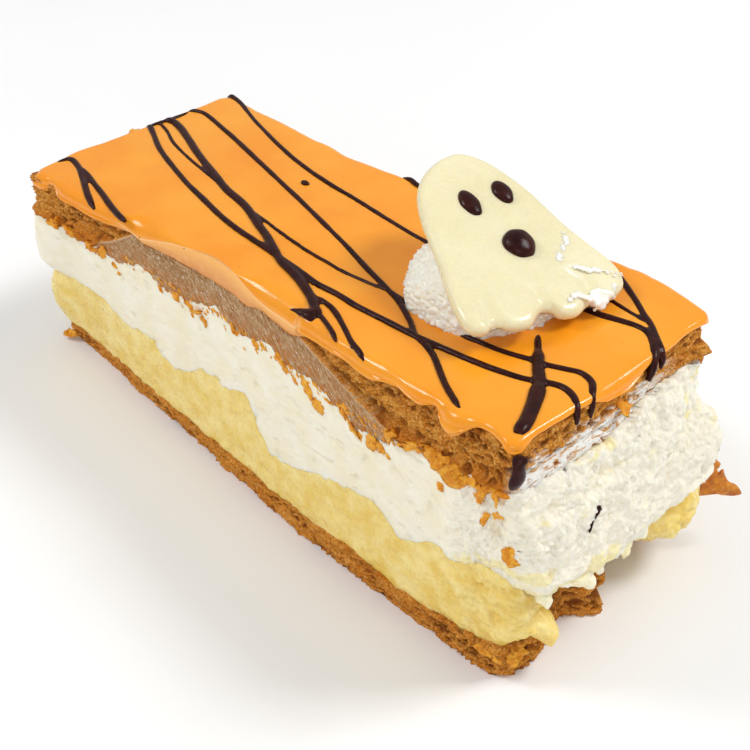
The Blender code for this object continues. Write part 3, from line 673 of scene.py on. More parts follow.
# Tatters of cream torn at the foot of the near end: their points, and their radii from root to tip.
TATTERS = (
    (((66.6, -17.6, 19.6), (68.8, -17.8, 17.4), (69.2, -17.8, 15.6)), (2.4, 1.4, 0.3)),
    (((67.4, -13.6, 20.0), (69.2, -13.2, 18.4), (69.2, -13.0, 17.4)), (2.6, 1.3, 0.3)),
    (((67.0, -9.6, 18.2), (69.0, -7.8, 15.4), (69.2, -6.3, 12.4)), (2.8, 1.7, 0.3)),
    (((67.4, -5.0, 17.8), (69.2, -4.8, 15.8), (69.2, -4.6, 14.4)), (2.4, 1.2, 0.3)),
    (((67.6, -1.2, 18.0), (69.4, -0.8, 16.6), (69.2, -0.4, 15.8)), (2.4, 1.2, 0.3)),
    (((67.8, 2.2, 18.2), (69.6, 2.0, 15.8), (69.4, 1.6, 14.0)), (2.4, 1.4, 0.3)),
    (((68.0, 6.2, 18.6), (69.8, 6.0, 17.0), (69.6, 6.2, 16.2)), (2.4, 1.2, 0.3)),
)


def radii_along(path, radii):
    """One radius for each point of a path, from a few radii evenly spread along it."""
    return np.interp(np.linspace(0, 1, len(path)), np.linspace(0, 1, len(radii)), radii)


def tatters(material):
    """Ragged tips of cream, stained by the custard they were torn from."""
    bodies = []
    for number, (path, radii) in enumerate(TATTERS):
        along = spline(path, 0.3)
        points, faces = tube(along, radii_along(along, radii), 0.8, 36)
        nearest = np.linalg.norm(points[:, None] - along, axis=-1).argmin(axis=1)
        seed = 680 + 9 * number
        torn = 0.5 * rough(points, (0.9,) * 3, seed, 2) + 0.6 * rough(points, (2.0,) * 3, seed + 3, 2)
        points += (points - along[nearest]) * torn[:, None]
        bodies.append((points, faces))
    fuse(gather("cream_tatters", bodies, material), TATTER_CELL, 0)


def lip_drop(rim):
    """How far the icing's lip hangs below its own underside, round the rim."""
    flat = rim.flat
    drops = 0.9 + 0.8 * noise(flat, 8.0, 71) + 0.5 * noise(flat, 4.0, 72)
    cut_side = through(
        (-66, 1.6), (-64, 2.4), (-61.5, 2.4), (-58, 0.1), (-54, 1.9), (-50, 1.6), (-46.7, 1.9),
        (-43, 2.2), (-40, 1.6), (-35, 1.5), (-30, 2.8), (-25, 3.0), (-18, 3.2), (-12, 3.6), (-6, 3.8),
        (-1, 4.4), (2, 3.5), (8, 4.1), (12, 4.4), (14.5, 3.4), (17, 2.2), (22, 1.9), (26, 1.8),
        (30, 2.0), (34, 2.4), (37, 1.4), (41, 0.6), (44, 1.1), (46, 1.1), (49.6, 0.4), (52.4, 3.0),
        (53.8, 2.9), (55.7, 1.4), (57.4, 0.2), (60, 0), (63, 0.2), (65, 1.0), (66, 1.3),
    )(rim.x)
    near_end = through(
        (-24, 1.2), (-20, 0.2), (-14, -0.1), (-8, -0.1), (-4, 0.9), (2, 1.2), (6, 0.1), (24, 0.1)
    )(rim.y)
    beside_arc = smooth_step(14, 19, rim.x) * (rim.ny < -0.5)
    waves = 0.2 * noise(flat, 2.2, 73) + 0.35 * noise(flat, 3.6, 74) * beside_arc
    return np.maximum(rim.blend(cut_side, drops, near_end, drops) + waves, -0.2)


def knife_flush(rim):
    """1 where the knife cut the icing's lip off, flush with the wall under it."""
    flush = smooth_step(*FLUSH_FROM, rim.x) * smooth_step(*FLUSH_TO, rim.x)
    return np.where(rim.ny < -0.7, flush, 0.0)


def rolled_down(rim):
    """How far the icing has rolled down before the cut meets it."""
    fall = through(
        (-43, 0.2), (-36, 1.4), (-31, 2.8), (-26, 1.7), (-21, 0.5), (-15, -0.4), (-9, -1.0), (-4, -0.2),
        (-1, 1.1), (2, 2.2), (6, 2.8), (11, 3.0), (15, 3.4)
    )(rim.x)
    return fall * knife_flush(rim)


def icing(rim, material):
    """A poured sheet with a rounded lip, cut flush where the knife took its edge off above the arc."""
    flat = rim.flat
    flush = knife_flush(rim)
    rounded = 1 - flush
    level, drop = top_level(rim.x), lip_drop(rim)
    out = (0.3 + 0.3 * noise(flat, 6.0, 701) + 0.28 * drop) * rounded
    far_corner = smooth_step(-50, -63, rim.x) * smooth_step(-10, -22, rim.y)
    out += rim.blend(cut_side=-0.8 * bump(60, 5, rim.x), near_end=-0.5) - 1.1 * far_corner
    full = ICING_THICKNESS + drop
    plump = np.clip(0.75 * full, LIP_RADIUS_MIN, LIP_RADIUS_MAX) * rounded
    roll = plump + (0.3 + 1.3 * np.abs(rolled_down(rim))) * flush
    fall = plump + (0.3 + rolled_down(rim)) * flush
    offsets, heights, low, crest_highlight = [], [], [], []

    def ring(offset, z, share, highlight=0.0):
        offsets.append(offset)
        heights.append(z)
        low.append(np.full(rim.count, share))
        crest_highlight.append(np.full(rim.count, highlight))

    for inset in (WAVE_REACH, 9.5, 7.5, 6.0, 5.0, 4.5):
        ring(np.full(rim.count, -inset), top_level(rim.place(-inset)[0]), 0.0)
    for turn in np.linspace(0, 90, 14):
        a = math.radians(turn)
        # Painted highlight: the ring where the roll turns down into the wall is marked for a pale line.
        highlight = smooth_step(84, 90, turn)
        ring(out - roll * (1 - math.sin(a)), level - fall * (1 - math.cos(a)), 0.0, highlight)
    tall = np.maximum(full - fall, 0.25)
    for t in np.linspace(0.08, 1, 12):
        swell = 0.4 * math.sin(math.pi * min(1.0, t * 1.1)) * rounded * np.clip(drop, 0, 1.3)
        ring(out + swell - 0.2 * t, level - fall - tall * t, t)
    for turn in np.linspace(20, 90, 5):
        a = math.radians(turn)
        ring(out - 0.2 - 0.55 * math.sin(a), level - fall - tall - 0.3 * math.sin(a), 1.0)
    ring(out - 1.6, level - fall - 0.75 * tall, 1.0)
    ring(np.full(rim.count, -5.0), level - ICING_THICKNESS, 1.0)
    ring(np.full(rim.count, -WAVE_REACH), under_icing(rim.place(-WAVE_REACH)[0]), 1.0)
    rings = rim.rings(np.array(offsets), np.array(heights))
    rings = np.concatenate((rim.closing(top_level, ICING_STEPS)[::-1], rings, rim.closing(under_icing, 1)))
    zeros, ones = np.zeros((ICING_STEPS, rim.count)), np.ones((1, rim.count))
    low, crest_highlight = np.concatenate((zeros, low, ones)), np.concatenate((zeros, crest_highlight, 0 * ones))
    rings[..., 2] += pour(rings)
    # The crest mark is a painted highlight along the edge where the flush-cut icing turns down.
    marks = {"low": low, "cut": flush * smooth_step(0.0, 0.1, low), "crest_highlight": crest_highlight * flush}
    made = skin("icing_sheet", rings, material, marks, outward=False)
    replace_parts(made, "icing")
    return made


def pour(points):
    """The gentle unevenness of poured icing."""
    return 0.16 * noise(points, (15.0, 11.0, 40.0), 711) + 0.05 * noise(points, (5.0, 5.0, 40.0), 712)


# The chocolate drizzle, each line as its width and its points: X and Y on the icing, and how far below
# the icing's top it has run down the edge.
DRIZZLE = (
    (1.5, ((-66.6, 25.8, 0.8), (-65.4, 25.7), (-63.8, 25.6), (-60.1, 24.6), (-55.2, 22.6),
           (-49.9, 20.6), (-44.4, 18.8), (-37.3, 16.6), (-30.2, 14.7), (-22.9, 13.2), (-15.6, 12.1),
           (-9.1, 11.5), (-1.3, 10.4), (5.9, 9.5), (14, 8.8), (22, 8.4))),
    (1.5, ((-8.6, 24.2, 0.4), (-6.2, 24.2), (-3.1, 23.4), (8, 21.8), (22, 19.6))),
    (1.6, ((-66.6, 14.6, 0.7), (-65.6, 15.2), (-62.7, 16), (-58, 15.2), (-51.2, 13.5), (-44.6, 11.8),
           (-35.2, 9.2), (-25.1, 6.4), (-15.3, 3.7), (-5.2, 0.7), (4.9, -2.3), (12.2, -4.7), (16, -5.9),
           (20.9, -7.4), (24.9, -8.8), (30.3, -11.6), (33.8, -13.9), (37, -14.8), (40, -16),
           (44.1, -18.5), (48.5, -21.2), (53.1, -23.4))),
    (2.3, ((-66.6, 8.6, 0.7), (-65.6, 8.6), (-63.3, 8.8), (-59.4, 7.7), (-54.3, 5.7), (-46.1, 2.5),
           (-38, -0.3), (-30.2, -3), (-24.4, -4.2), (-20.5, -5.3), (-14.5, -7.7), (-9.8, -9.5),
           (-5.6, -11.5), (-0.8, -13.5), (3.9, -14.7), (8.2, -16.1), (12.6, -18), (15.5, -19.7),
           (18.0, -20.8))),
    (1.4, ((16.6, -20.2), (19.5, -21.2), (23.2, -22.7), (25.4, -23.8, 0.4))),
    (1.2, ((-66.6, 6.6, 0.7), (-65.4, 6.4), (-61.2, 5.1), (-55.4, 2.6), (-48.2, 0.7), (-41.8, -0.7),
           (-35.9, -1.9), (-31.4, -2.7))),
    (1.2, ((-19.5, -5.3), (-14.8, -5.9), (-10.4, -6.6), (-4.7, -7.4), (0.5, -7.9), (6.4, -8.2),
           (10.9, -8.3), (16.8, -7.9), (20.7, -7.3), (24.6, -7.7), (27.2, -7.4))),
    (1.8, ((-67.2, 3.8, 1.0), (-66, 4.0), (-62, 2.2), (-56.5, -0.5), (-52.5, -2.1), (-46.1, -4.2),
           (-38.5, -6.6), (-31.9, -8.2), (-25, -9.9), (-17.5, -11.3), (-10.7, -12), (-6.5, -12.3),
           (-1.9, -12.9), (4.3, -13.5), (10.2, -14.3), (15.2, -14.2), (20.3, -14.5), (25.1, -14.4),
           (30.5, -14.2), (34.3, -14.1), (40.6, -13.5), (45.3, -13), (50.9, -12.1), (55.5, -10.9),
           (58.3, -9.5), (61, -8.7), (63.4, -9.3), (65.2, -10.5, 0.2), (66.2, -11.4, 1.5),
           (66.4, -11.6, 2.8))),
    (1.4, ((-66.8, 2.6, 1.0), (-66.2, 5.0, 0.2), (-65.7, 8.4), (-65.4, 11.4), (-65.8, 14.6, 0.2))),
    (1.9, ((-66.6, -20.4, 0.9), (-66.2, -18.2, 0.3), (-65.2, -16.4), (-60.6, -17.5), (-56.9, -19.2),
           (-52, -21.6), (-47.7, -23.5, 0.2), (-44.4, -24.6, 0.8))),
    (1.8, ((-60.9, -17.4), (-56.7, -18), (-51.7, -19.5), (-47.7, -20.6), (-42.3, -22.3), (-37.3, -23.6),
           (-34.4, -24.1))),
    (1.5, ((12.4, -17.1), (16.4, -17.5), (19.8, -18.6), (24.2, -20.7), (27.4, -22.3),
           (30.6, -23.4, 0.2), (32.6, -24, 0.8))),
    (1.7, ((48.4, -0.2), (49.6, -1.6), (52.2, -4.5), (54.7, -7.3))),
    (2.9, ((51.2, -3.4), (52.2, -4.5), (54.7, -7.3), (57.2, -9.9), (59.8, -13.6), (61.6, -17.2))),
    (3.5, ((57.6, -10.4), (59.8, -13.8), (62.4, -18.4), (63.9, -22.2))),
    (1.7, ((39.1, -8.9), (42.3, -8.4), (47.2, -7.8), (52.2, -6.5), (55.3, -5.8), (58.2, -4.6),
           (60.5, -3.8), (63.3, -4.6), (65.2, -6.8, 0.2), (66.2, -8.0, 1.7), (66.4, -8.3, 3.4))),
    (2.0, ((46, 10.2), (49.1, 10.8), (52, 11.1), (55.5, 11.9), (58.4, 12.5), (61, 12.2), (63.4, 10.5),
           (65.2, 8.4, 0.2), (66.2, 6.9, 1.6), (66.4, 5.8, 3.6))),
    (1.7, ((42, 25.2), (48, 22.1), (52.3, 19.4), (56.7, 16.4), (59.9, 14.4), (63.4, 11.6),
           (65.2, 10.2, 0.2), (66.2, 9.4, 1.4), (66.4, 8.8, 2.8))),
    (1.3, ((46, 17.0), (50.2, 16), (53.3, 15.4), (56.5, 14.9), (59.7, 14.4))),
)


def between(before, start, end, after, t):
    """The place at share t from start to end of a smooth curve that also passes before and after."""
    return 0.5 * (
        2 * start + (end - before) * t + (2 * before - 5 * start + 4 * end - after) * t**2
        + (3 * start - before - 3 * end + after) * t**3
    )


def spline(knots, spacing):
    """Evenly dense points on a smooth open curve through knots."""
    knots = np.array(knots, float)
    padded = np.vstack((2 * knots[0] - knots[1], knots, 2 * knots[-1] - knots[-2]))
    found = []
    for before, start, end, after in zip(padded, padded[1:], padded[2:], padded[3:]):
        pieces = max(2, round(np.linalg.norm(end - start) / spacing))
        found += [between(before, start, end, after, t) for t in np.arange(pieces) / pieces]
    found.append(knots[-1])
    return np.array(found)


def closed_skin(rings, first, last):
    """Points and faces of a skin round rings of points, which run against the clock as seen from the
    last, closed by a point at each end."""
    count = len(rings[0])
    points = np.concatenate((*rings, [first], [last]))
    faces = band_faces(0, len(rings), count).tolist()
    end = (len(rings) - 1) * count
    faces += [(len(points) - 2, (k + 1) % count, k) for k in range(count)]
    faces += [(len(points) - 1, end + k, end + (k + 1) % count) for k in range(count)]
    return points, faces


def tube(path, radii, squash, sides=12):
    """Points and faces of a closed tube along a path, squashed in its height."""
    ahead = np.gradient(path, axis=0)
    ahead /= np.linalg.norm(ahead, axis=1)[:, None]
    left = np.stack((-ahead[:, 1], ahead[:, 0], np.zeros(len(path))), axis=1)
    steep = np.linalg.norm(left, axis=1) < 0.35
    left[steep] = (0.0, 1.0, 0.0)
    left /= np.linalg.norm(left, axis=1)[:, None]
    up = np.cross(ahead, left)
    turns = np.linspace(0, 2 * np.pi, sides, endpoint=False)
    rings = [
        p + r * (np.cos(turns)[:, None] * a + squash * np.sin(turns)[:, None] * b)
        for p, r, a, b in zip(path, radii, left, up)
    ]
    return closed_skin(rings, path[0], path[-1])


def drizzle(material):
    """The chocolate lines, fused where they cross."""
    bodies = []
    for number, (width, knots) in enumerate(DRIZZLE):
        knots = [(*k, 0.0) if len(k) == 2 else k for k in knots]
        path = spline(knots, 0.6)
        path[:, :2] += 0.05 * drift(path, 4.5, 800, 2)
        path[:, 2] = top_level(path[:, 0]) - path[:, 2]
        beads = 1 + 0.09 * noise(path, 6.0, 810 + number) + 0.04 * noise(path, 2.2, 830 + number)
        ends = np.minimum(np.arange(len(path)), np.arange(len(path))[::-1]) * 0.6
        radii = 0.385 * width * beads * (0.6 + 0.4 * smooth_step(0, 1.8, ends))
        bodies.append(tube(path, radii, 0.85))
    bodies += [blob(place, radii, 12) for place, radii in CHOCOLATE_DROPS]
    for path, radii in CHOCOLATE_RUNS:
        along = spline(path, 0.4)
        radii = radii_along(along, radii) * (1 + 0.1 * noise(along, 1.3, 890))
        bodies.append(tube(along, radii, 0.55, 16))
    fuse(gather("chocolate_drizzle", bodies, material), DRIZZLE_CELL, 4)


# Drops of chocolate: where each stands, and its half sizes.
CHOCOLATE_DROPS = (
    ((-20.7, 9.2, 46.8), (1.15, 0.75, 0.6)),
    ((-28.9, -25.0, 45.2), (0.3, 0.25, 0.25)),
    ((-17.9, -22.6, 46.8), (0.3, 0.22, 0.2)),
    ((16.2, -21.6, 48.9), (1.7, 1.3, 0.8)),
    ((14.6, -22.2, 48.8), (1.5, 0.7, 0.55)),
    ((17.4, -22.0, 48.5), (0.9, 0.8, 0.8)),
)

# Runs of chocolate: the points each passes through, and its radii from end to end.
CHOCOLATE_RUNS = (
    (
        ((66.1, -23.9, 50.3), (66.5, -24.5, 48.6), (66.5, -24.7, 46.6), (66.1, -24.8, 44.6)),
        (1.1, 1.35, 1.5, 1.75, 1.2),
    ),
    (((12.4, -22.9, 48.7), (14.0, -22.2, 48.9), (16.4, -21.4, 49.1)), (0.3, 0.8, 1.2)),
    (((28.8, -22.9, 49.5), (28.2, -23.7, 48.9)), (0.5, 0.35)),
)


def blob(place, radii, rings):
    """Points and faces of an ellipsoid."""
    turns = np.linspace(0, 2 * np.pi, 2 * rings, endpoint=False)
    circle = np.stack((np.cos(turns), np.sin(turns), np.zeros(2 * rings)), axis=1)
    ups = np.pi * np.arange(1, rings) / rings
    sheets = [math.sin(up) * circle - (0.0, 0.0, math.cos(up)) for up in ups]
    points, faces = closed_skin(sheets, (0.0, 0.0, -1.0), (0.0, 0.0, 1.0))
    return points * radii + place, faces


def fuse(made, voxel, smoothing):
    """Fuses an object's overlapping bodies into one skin and rounds where they meet."""
    remesh = made.modifiers.new("fuse", "REMESH")
    remesh.mode = "VOXEL"
    remesh.voxel_size = voxel * MM
    soften = made.modifiers.new("soften", "SMOOTH")
    soften.factor = 0.5
    soften.iterations = smoothing
    shown = made.evaluated_get(bpy.context.evaluated_depsgraph_get())
    fused = bpy.data.meshes.new_from_object(shown)
    made.modifiers.clear()
    made.data = fused
    made.data.shade_smooth()


def turned(degrees, axis, size=3):
    """The matrix of a turn about an axis."""
    return Matrix.Rotation(math.radians(degrees), size, axis)


def ghost_frame():
    """Turns the ghost's own plane, with +Y to its head and +Z out of its face, into the slice's frame."""
    frame = turned(GHOST_TILT, "Y", 4) @ turned(90.0 - GHOST_TURN, "Z", 4)
    return Matrix.Translation(Vector(GHOST_CENTRE)) @ frame


def to_slice(points):
    """Points of the ghost's plane, placed in the slice's frame."""
    frame = np.array(ghost_frame())
    return points @ frame[:3, :3].T + frame[:3, 3]


def closed_curve(knots, per_span):
    """A smooth closed curve through knots, in a plane."""
    knots = np.array(knots, float)
    found = []
    for i in range(len(knots)):
        near = [knots[(i + k) % len(knots)] for k in (-1, 0, 1, 2)]
        found += [between(*near, t) for t in np.arange(per_span) / per_span]
    return np.array(found)


# The ghost's outline: a round head, sides that flare and a hem with three folds.
GHOST_OUTLINE = (
    (3.3, 15.2), (0.3, 15.2), (-3.0, 14.0), (-6.2, 11.7), (-8.6, 8.8), (-10.1, 5.8), (-11.5, 1.2),
    (-12.3, -3.5), (-13.1, -8.1), (-14.4, -13.5), (-15.1, -17.9), (-15.2, -21.6), (-14.3, -23.4),
    (-12.4, -24.0), (-10.6, -23.1), (-9.4, -23.3), (-7.6, -24.6), (-4.8, -24.8), (-2.8, -23.5),
    (-0.8, -22.0), (0.8, -22.6), (2.0, -24.3), (4.6, -24.6), (7.2, -23.3), (9.2, -22.6), (12.0, -22.9),
    (14.6, -22.0), (16.3, -20.4), (16.9, -17.6), (16.2, -14.4), (14.6, -10.2), (13.2, -6.0),
    (12.2, -1.6), (11.0, 3.2), (9.0, 8.0), (6.6, 12.4),
)
HEM_CREASES = ((-10.4, 1.7), (-0.6, 1.9), (9.2, 1.6))


def ghost(material):
    """The white chocolate ghost: a plate with well rounded edges and creases between the hem's folds."""
    outline = closed_curve(GHOST_OUTLINE, 8)
    middle = np.array((0.6, -5.0))
    half = GHOST_THICKNESS / 2
    shares = np.concatenate((1 - np.linspace(0, 1, 14) ** 1.7 * 0.22, np.linspace(0.76, 0.04, 26)))
    sheets = []
    for facing in (-1, 1):
        for share in shares if facing > 0 else shares[:0:-1]:
            ring = middle + (outline - middle) * share
            inset = np.linalg.norm(outline - ring, axis=1)
            rounding = np.clip(inset / (1.9 if facing > 0 else 1.2), 0, 1)
            edge = np.sqrt(np.clip(1 - (1 - rounding) ** 2, 0, 1))
            crown = GHOST_CROWN * (1 - share**2) if facing > 0 else 0.0
            sheets.append(np.column_stack((ring, facing * (half * edge + crown))))
    points, faces = closed_skin(sheets, (*middle, -half), (*middle, half + GHOST_CROWN))
    hem = smooth_step(-13.0, -22.5, points[:, 1])
    for x, reach in HEM_CREASES:
        points[:, 2] -= 0.8 * hem * bump(x, reach * 1.5, points[:, 0]) * (points[:, 2] > -0.4)
    points[:, 2] += 0.10 * noise(points, (7.0, 7.0, 20.0), 901)
    region = bump(8.5, 6.0, points[:, 0]) * bump(-16.5, 5.5, points[:, 1]) * (points[:, 2] > 0)
    streaks = 1 - np.abs(rough(points + 0.8, (3.4, 1.3, 3.0), 910, 4)) * 3.0
    smear = 0.8 * smooth_step(0.8, 1.15, streaks * region + 0.3 * region)
    made = make_object("ghost_plate", to_slice(points), faces, material, {"smear": smear})
    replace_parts(made, "ghost")


# The ghost's eyes and mouth: the node, place and half sizes.
FACE = (
    ("ghost_eye_left", (-2.0, 2.3), (1.75, 3.2, 1.1)),
    ("ghost_eye_right", (5.1, 3.5), (1.75, 2.8, 1.1)),
    ("ghost_mouth", (1.7, -8.7), (2.8, 3.2, 2.0)),
)


def ghost_face(material):
    """The eyes and the mouth, domed drops of dark chocolate."""
    for node, place, radii in FACE:
        points, faces = blob((0.0, 0.0, 0.0), radii, 20)
        points += 0.06 * points * noise(points, 1.6, 950)[:, None]
        points = points + (*place, GHOST_FACE_LEVEL)
        made = make_object(node + "_drop", to_slice(points), faces, material)
        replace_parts(made, node)


def dollop(material):
    """A mound of curdy whipped cream, pressed by the ghost that lies on it."""
    frame = ghost_frame()
    face = frame.to_3x3() @ Vector((0, 0, 1))
    rest = frame @ Vector((0, 0, -GHOST_THICKNESS / 2 + 0.3))
    turns = np.linspace(0, 2 * np.pi, DOLLOP_AROUND, endpoint=False)[None]
    up = np.radians(np.linspace(-20.0, 89.0, DOLLOP_ROWS))[:, None]
    out = np.cos(up) ** 0.62 * DOLLOP_RADIUS
    high = DOLLOP_RADIUS * np.sin(up)
    ball = np.stack(np.broadcast_arrays(out * np.cos(turns), out * np.sin(turns), high), axis=-1)
    bent = ball + 0.35 * drift(ball, 1.8, 970)
    curds = bubbles(bent, (1.5,) * 3, 980)
    push = 0.9 * noise(ball, 6.0, 981) + 1.1 * (0.72 - curds)
    push += 0.5 * (0.72 - bubbles(bent, (0.8,) * 3, 982)) + 0.25 * rough(ball, (2.2,) * 3, 983, 2)
    away = ball / np.linalg.norm(ball, axis=-1)[..., None]
    ball = ball + push[..., None] * away
    x = DOLLOP_CENTRE[0] + ball[..., 0]
    y = DOLLOP_CENTRE[1] + ball[..., 1]
    z = top_level(x) + DOLLOP_HEIGHT * ball[..., 2] / DOLLOP_RADIUS
    pressed = rest.z - (face.x * (x - rest.x) + face.y * (y - rest.y)) / face.z
    z = np.minimum(z, pressed + 0.3 * push)
    points = np.stack((x, y, z), axis=-1).reshape(-1, 3)
    faces = band_faces(0, DOLLOP_ROWS, DOLLOP_AROUND).tolist()
    faces.append(list(range(DOLLOP_AROUND))[::-1])
    faces.append(list(range((DOLLOP_ROWS - 1) * DOLLOP_AROUND, DOLLOP_ROWS * DOLLOP_AROUND)))
    # Painted shade in the creases between the curds.
    marks = {"hollow": np.clip(0.8 * (curds - 0.6), 0, 1), "stain": np.zeros_like(curds)}
    made = make_object("cream_mound", points, faces, material, marks)
    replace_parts(made, "cream_dollop")


def leaf(edge, middle, rings, height):
    """Points and faces of a leaf whose rim is edge. height gives its upper and lower face's levels."""
    sheets = []
    for facing in (-1, 1):
        shares = np.arange(1, rings + 1) / rings
        for share in shares if facing < 0 else shares[-2::-1]:
            flat = middle + (edge - middle) * share
            sheets.append(np.column_stack((flat, height(flat, share, facing))))
    ends = [(*middle, float(height(np.array([middle]), 0.0, facing)[0])) for facing in (-1, 1)]
    return closed_skin(sheets, *ends)


def scrap(place, size, thickness, frame, seed, around=26, rings=6):
    """Points and faces of a torn scrap of crust that lies in the frame's plane."""
    turns = np.linspace(0, 2 * np.pi, around, endpoint=False)
    edge = np.stack((np.cos(turns), np.sin(turns), np.full(around, 0.37 * seed)), axis=1)
    radius = 1 + 0.4 * noise(edge, 0.8, seed) + 0.35 * noise(edge, 0.35, seed + 1)

    def height(flat, share, facing):
        lump = noise(np.column_stack((flat, np.full(len(flat), seed * 3.1))), 0.7, seed + 2)
        return facing * thickness * (1 - share**4) * (0.7 + 0.5 * lump) + 0.5 * thickness * lump

    points, faces = leaf(edge[:, :2] * radius[:, None] * size, np.zeros(2), rings, height)
    return points @ np.array(frame).T + place, faces


def gather(name, bodies, material):
    """One object from many loose bodies, each a pair of points and faces."""
    points, faces, at = [], [], 0
    for more, quads in bodies:
        points.append(more)
        faces += [[at + v for v in f] for f in quads]
        at += len(more)
    made = make_object(name, np.concatenate(points), faces, material)
    return made


class Ground:
    """What loose bits rest on."""

    def __init__(self, carriers):
        shown = bpy.context.evaluated_depsgraph_get()
        self.trees = [BVHTree.FromObject(carrier, shown) for carrier in carriers]

    def hit(self, start, towards):
        """The first place that lies from start towards a direction, and which way it faces."""
        towards = Vector(towards).normalized()
        hits = [tree.ray_cast(Vector(start) * MM, towards) for tree in self.trees]
        place, facing, _, _ = min((h for h in hits if h[0]), key=lambda h: h[3])
        return np.array(place) / MM, (facing if facing.dot(towards) < 0 else -facing)

    def lie(self, start, towards, grain, spin=0.0):
        """A place on the ground and a frame whose X follows grain along it and whose Z faces out."""
        place, facing = self.hit(start, towards)
        along = (Vector(grain) - facing * facing.dot(Vector(grain))).normalized()
        frame = Matrix((along, facing.cross(along), facing)).transposed()
        return place, frame @ turned(spin, "Z")


def from_cut_side(x, z):
    """Where a ray starts that meets the cut side at X and Z, and its direction."""
    return (x, -60.0, z), (0.0, 1.0, 0.0)


def from_near_end(y, z):
    """Where a ray starts that meets the torn end at Y and Z, and its direction."""
    return (100.0, y, z), (-1.0, 0.0, 0.0)


# Crumbs that the knife wiped onto the cut side: X, Z, half length and half width.
CUT_SIDE_CRUMBS = (
    (-41.6, 32.4, 0.9, 0.4), (-41.0, 30.6, 0.6, 0.35), (-27.0, 33.6, 1.1, 0.5), (-22.1, 34.2, 1.5, 1.1),
    (-18.2, 33.8, 1.9, 0.8), (-15.6, 33.6, 1.7, 1.2), (-14.0, 32.6, 1.1, 0.7), (-17.6, 31.9, 0.7, 0.5),
    (-4.4, 35.0, 1.9, 0.6), (2.1, 35.8, 1.5, 0.6), (4.2, 36.4, 1.2, 0.5), (9.6, 36.5, 1.7, 0.7),
    (11.1, 35.6, 1.7, 0.7), (17.1, 34.6, 2.4, 1.1), (18.4, 33.4, 1.1, 0.7), (20.3, 32.8, 1.7, 1.4),
    (27.0, 35.0, 2.2, 0.8), (29.5, 33.5, 2.1, 0.9), (31.2, 32.4, 1.7, 0.7), (34.0, 34.0, 1.9, 1.4),
    (36.4, 33.6, 1.2, 0.9), (38.3, 33.0, 0.7, 0.4), (50.8, 34.1, 0.8, 0.5), (51.0, 35.0, 0.4, 0.3),
    (60.4, 34.5, 2.0, 1.3), (62.9, 36.0, 1.3, 1.2), (65.9, 30.6, 1.8, 1.4),
)

# How many finer bits lie along the upper sheet's foot, and between which X.
WIPED_BITS, WIPED_BITS_X = 150, (-38, 42)

# Caramel flakes that hang from the upper sheet over the cream: X, Z, half length and half height.
HANGING_FLAKES = (
    (38.6, 38.4, 2.0, 1.0), (44.0, 39.0, 2.8, 1.5), (49.4, 39.4, 3.4, 2.0), (55.0, 39.6, 3.0, 2.6),
    (58.4, 39.4, 3.0, 1.9), (62.6, 41.2, 2.2, 1.4), (-49.6, 33.8, 2.0, 1.0), (-45.8, 34.0, 1.6, 1.0),
    (-55.4, 34.6, 2.2, 0.9), (-60.6, 35.0, 2.0, 0.8),
)
# Flakes on the cream of the torn end: Y, Z, half length, half width and turn in degrees.
END_FLAKES = ((0.0, 46.6, 2.2, 1.2, 80.0), (1.2, 45.2, 1.5, 0.8, 60.0))


def crumbs(ground, material):
    """Orange-brown bits that the knife dragged onto the cream, and flakes that hang over it."""
    grain = (WIPE[0], 0.0, WIPE[1])
    bits = []
    for number, (x, z, long, wide) in enumerate(CUT_SIDE_CRUMBS):
        place, frame = ground.lie(*from_cut_side(x, z), grain)
        for part in range(3):
            seed = 1000 + 11 * number + part
            along, across = (lattice(np.array((seed, axis, 0)), 3) for axis in (1, 2))
            shift = np.array(frame) @ (0.3 * long * along, 0.3 * wide * across, 0.0)
            size = (long * (0.9 - 0.15 * part), wide * (0.95 - 0.15 * part))
            bits.append(scrap(place + shift, size, 0.4, frame, seed, 22, 4))
    spots = np.random.default_rng(7)
    for number in range(WIPED_BITS):
        x = spots.uniform(*WIPED_BITS_X)
        z = UNDER_TOP_PASTRY(x) - abs(spots.normal(0, 1.3)) + 0.6
        place, frame = ground.lie(*from_cut_side(x, z), grain)
        long = spots.uniform(0.2, 0.75)
        wide = long * spots.uniform(0.25, 0.7)
        bits.append(scrap(place, (long, wide), 0.16, frame, 1400 + 5 * number, 12, 2))
    gather("wiped_crumbs", bits, material)
    flakes = []
    for number, (x, z, long, tall) in enumerate(HANGING_FLAKES):
        for part, (x_shift, z_shift, share) in enumerate(((0.0, 0.0, 1.0), (1.2, 1.1, 0.8))):
            start = from_cut_side(x + x_shift, z + z_shift - 0.4)
            place, frame = ground.lie(*start, (1.0, 0.0, -0.2))
            lean = frame @ turned(-14 + 7 * (number % 3), "X")
            size, seed = (share * long, share * tall), 2300 + 7 * number + 211 * part
            flakes.append(scrap(place - (0.0, 0.1, 0.0), size, 0.5, lean, seed))
    for number, (y, z, long, wide, turn) in enumerate(END_FLAKES):
        place, frame = ground.lie(*from_near_end(y, z), (0.0, 1.0, 0.0), turn)
        flakes.append(scrap(place, (long, wide), 0.4, frame, 2700 + number))
    gather("hanging_flakes", flakes, material)


# The stems of the chocolate splinter, as Y and Z, each with its half width.
SPLINTER_STEMS = (
    (((-11.2, 29.8), (-10.6, 31.6), (-10.1, 33.0), (-9.5, 34.4)), 0.26),
    (((-10.2, 32.8), (-10.6, 33.6)), 0.2),
    (((-9.8, 33.8), (-9.2, 33.6)), 0.22),
)


def chocolate_splinter(ground, material):
    """A thin branched splinter of chocolate on the cream of the torn end."""
    bodies = []
    for stem, width in SPLINTER_STEMS:
        path = [ground.hit(*from_near_end(y, z))[0] + (0.2, 0.0, 0.0) for y, z in stem]
        path = spline(path, 0.3)
        bodies.append(tube(path, width * (1 + 0.5 * noise(path, 0.8, 2800)), 1.0, 8))
    gather("chocolate_splinter", bodies, material)


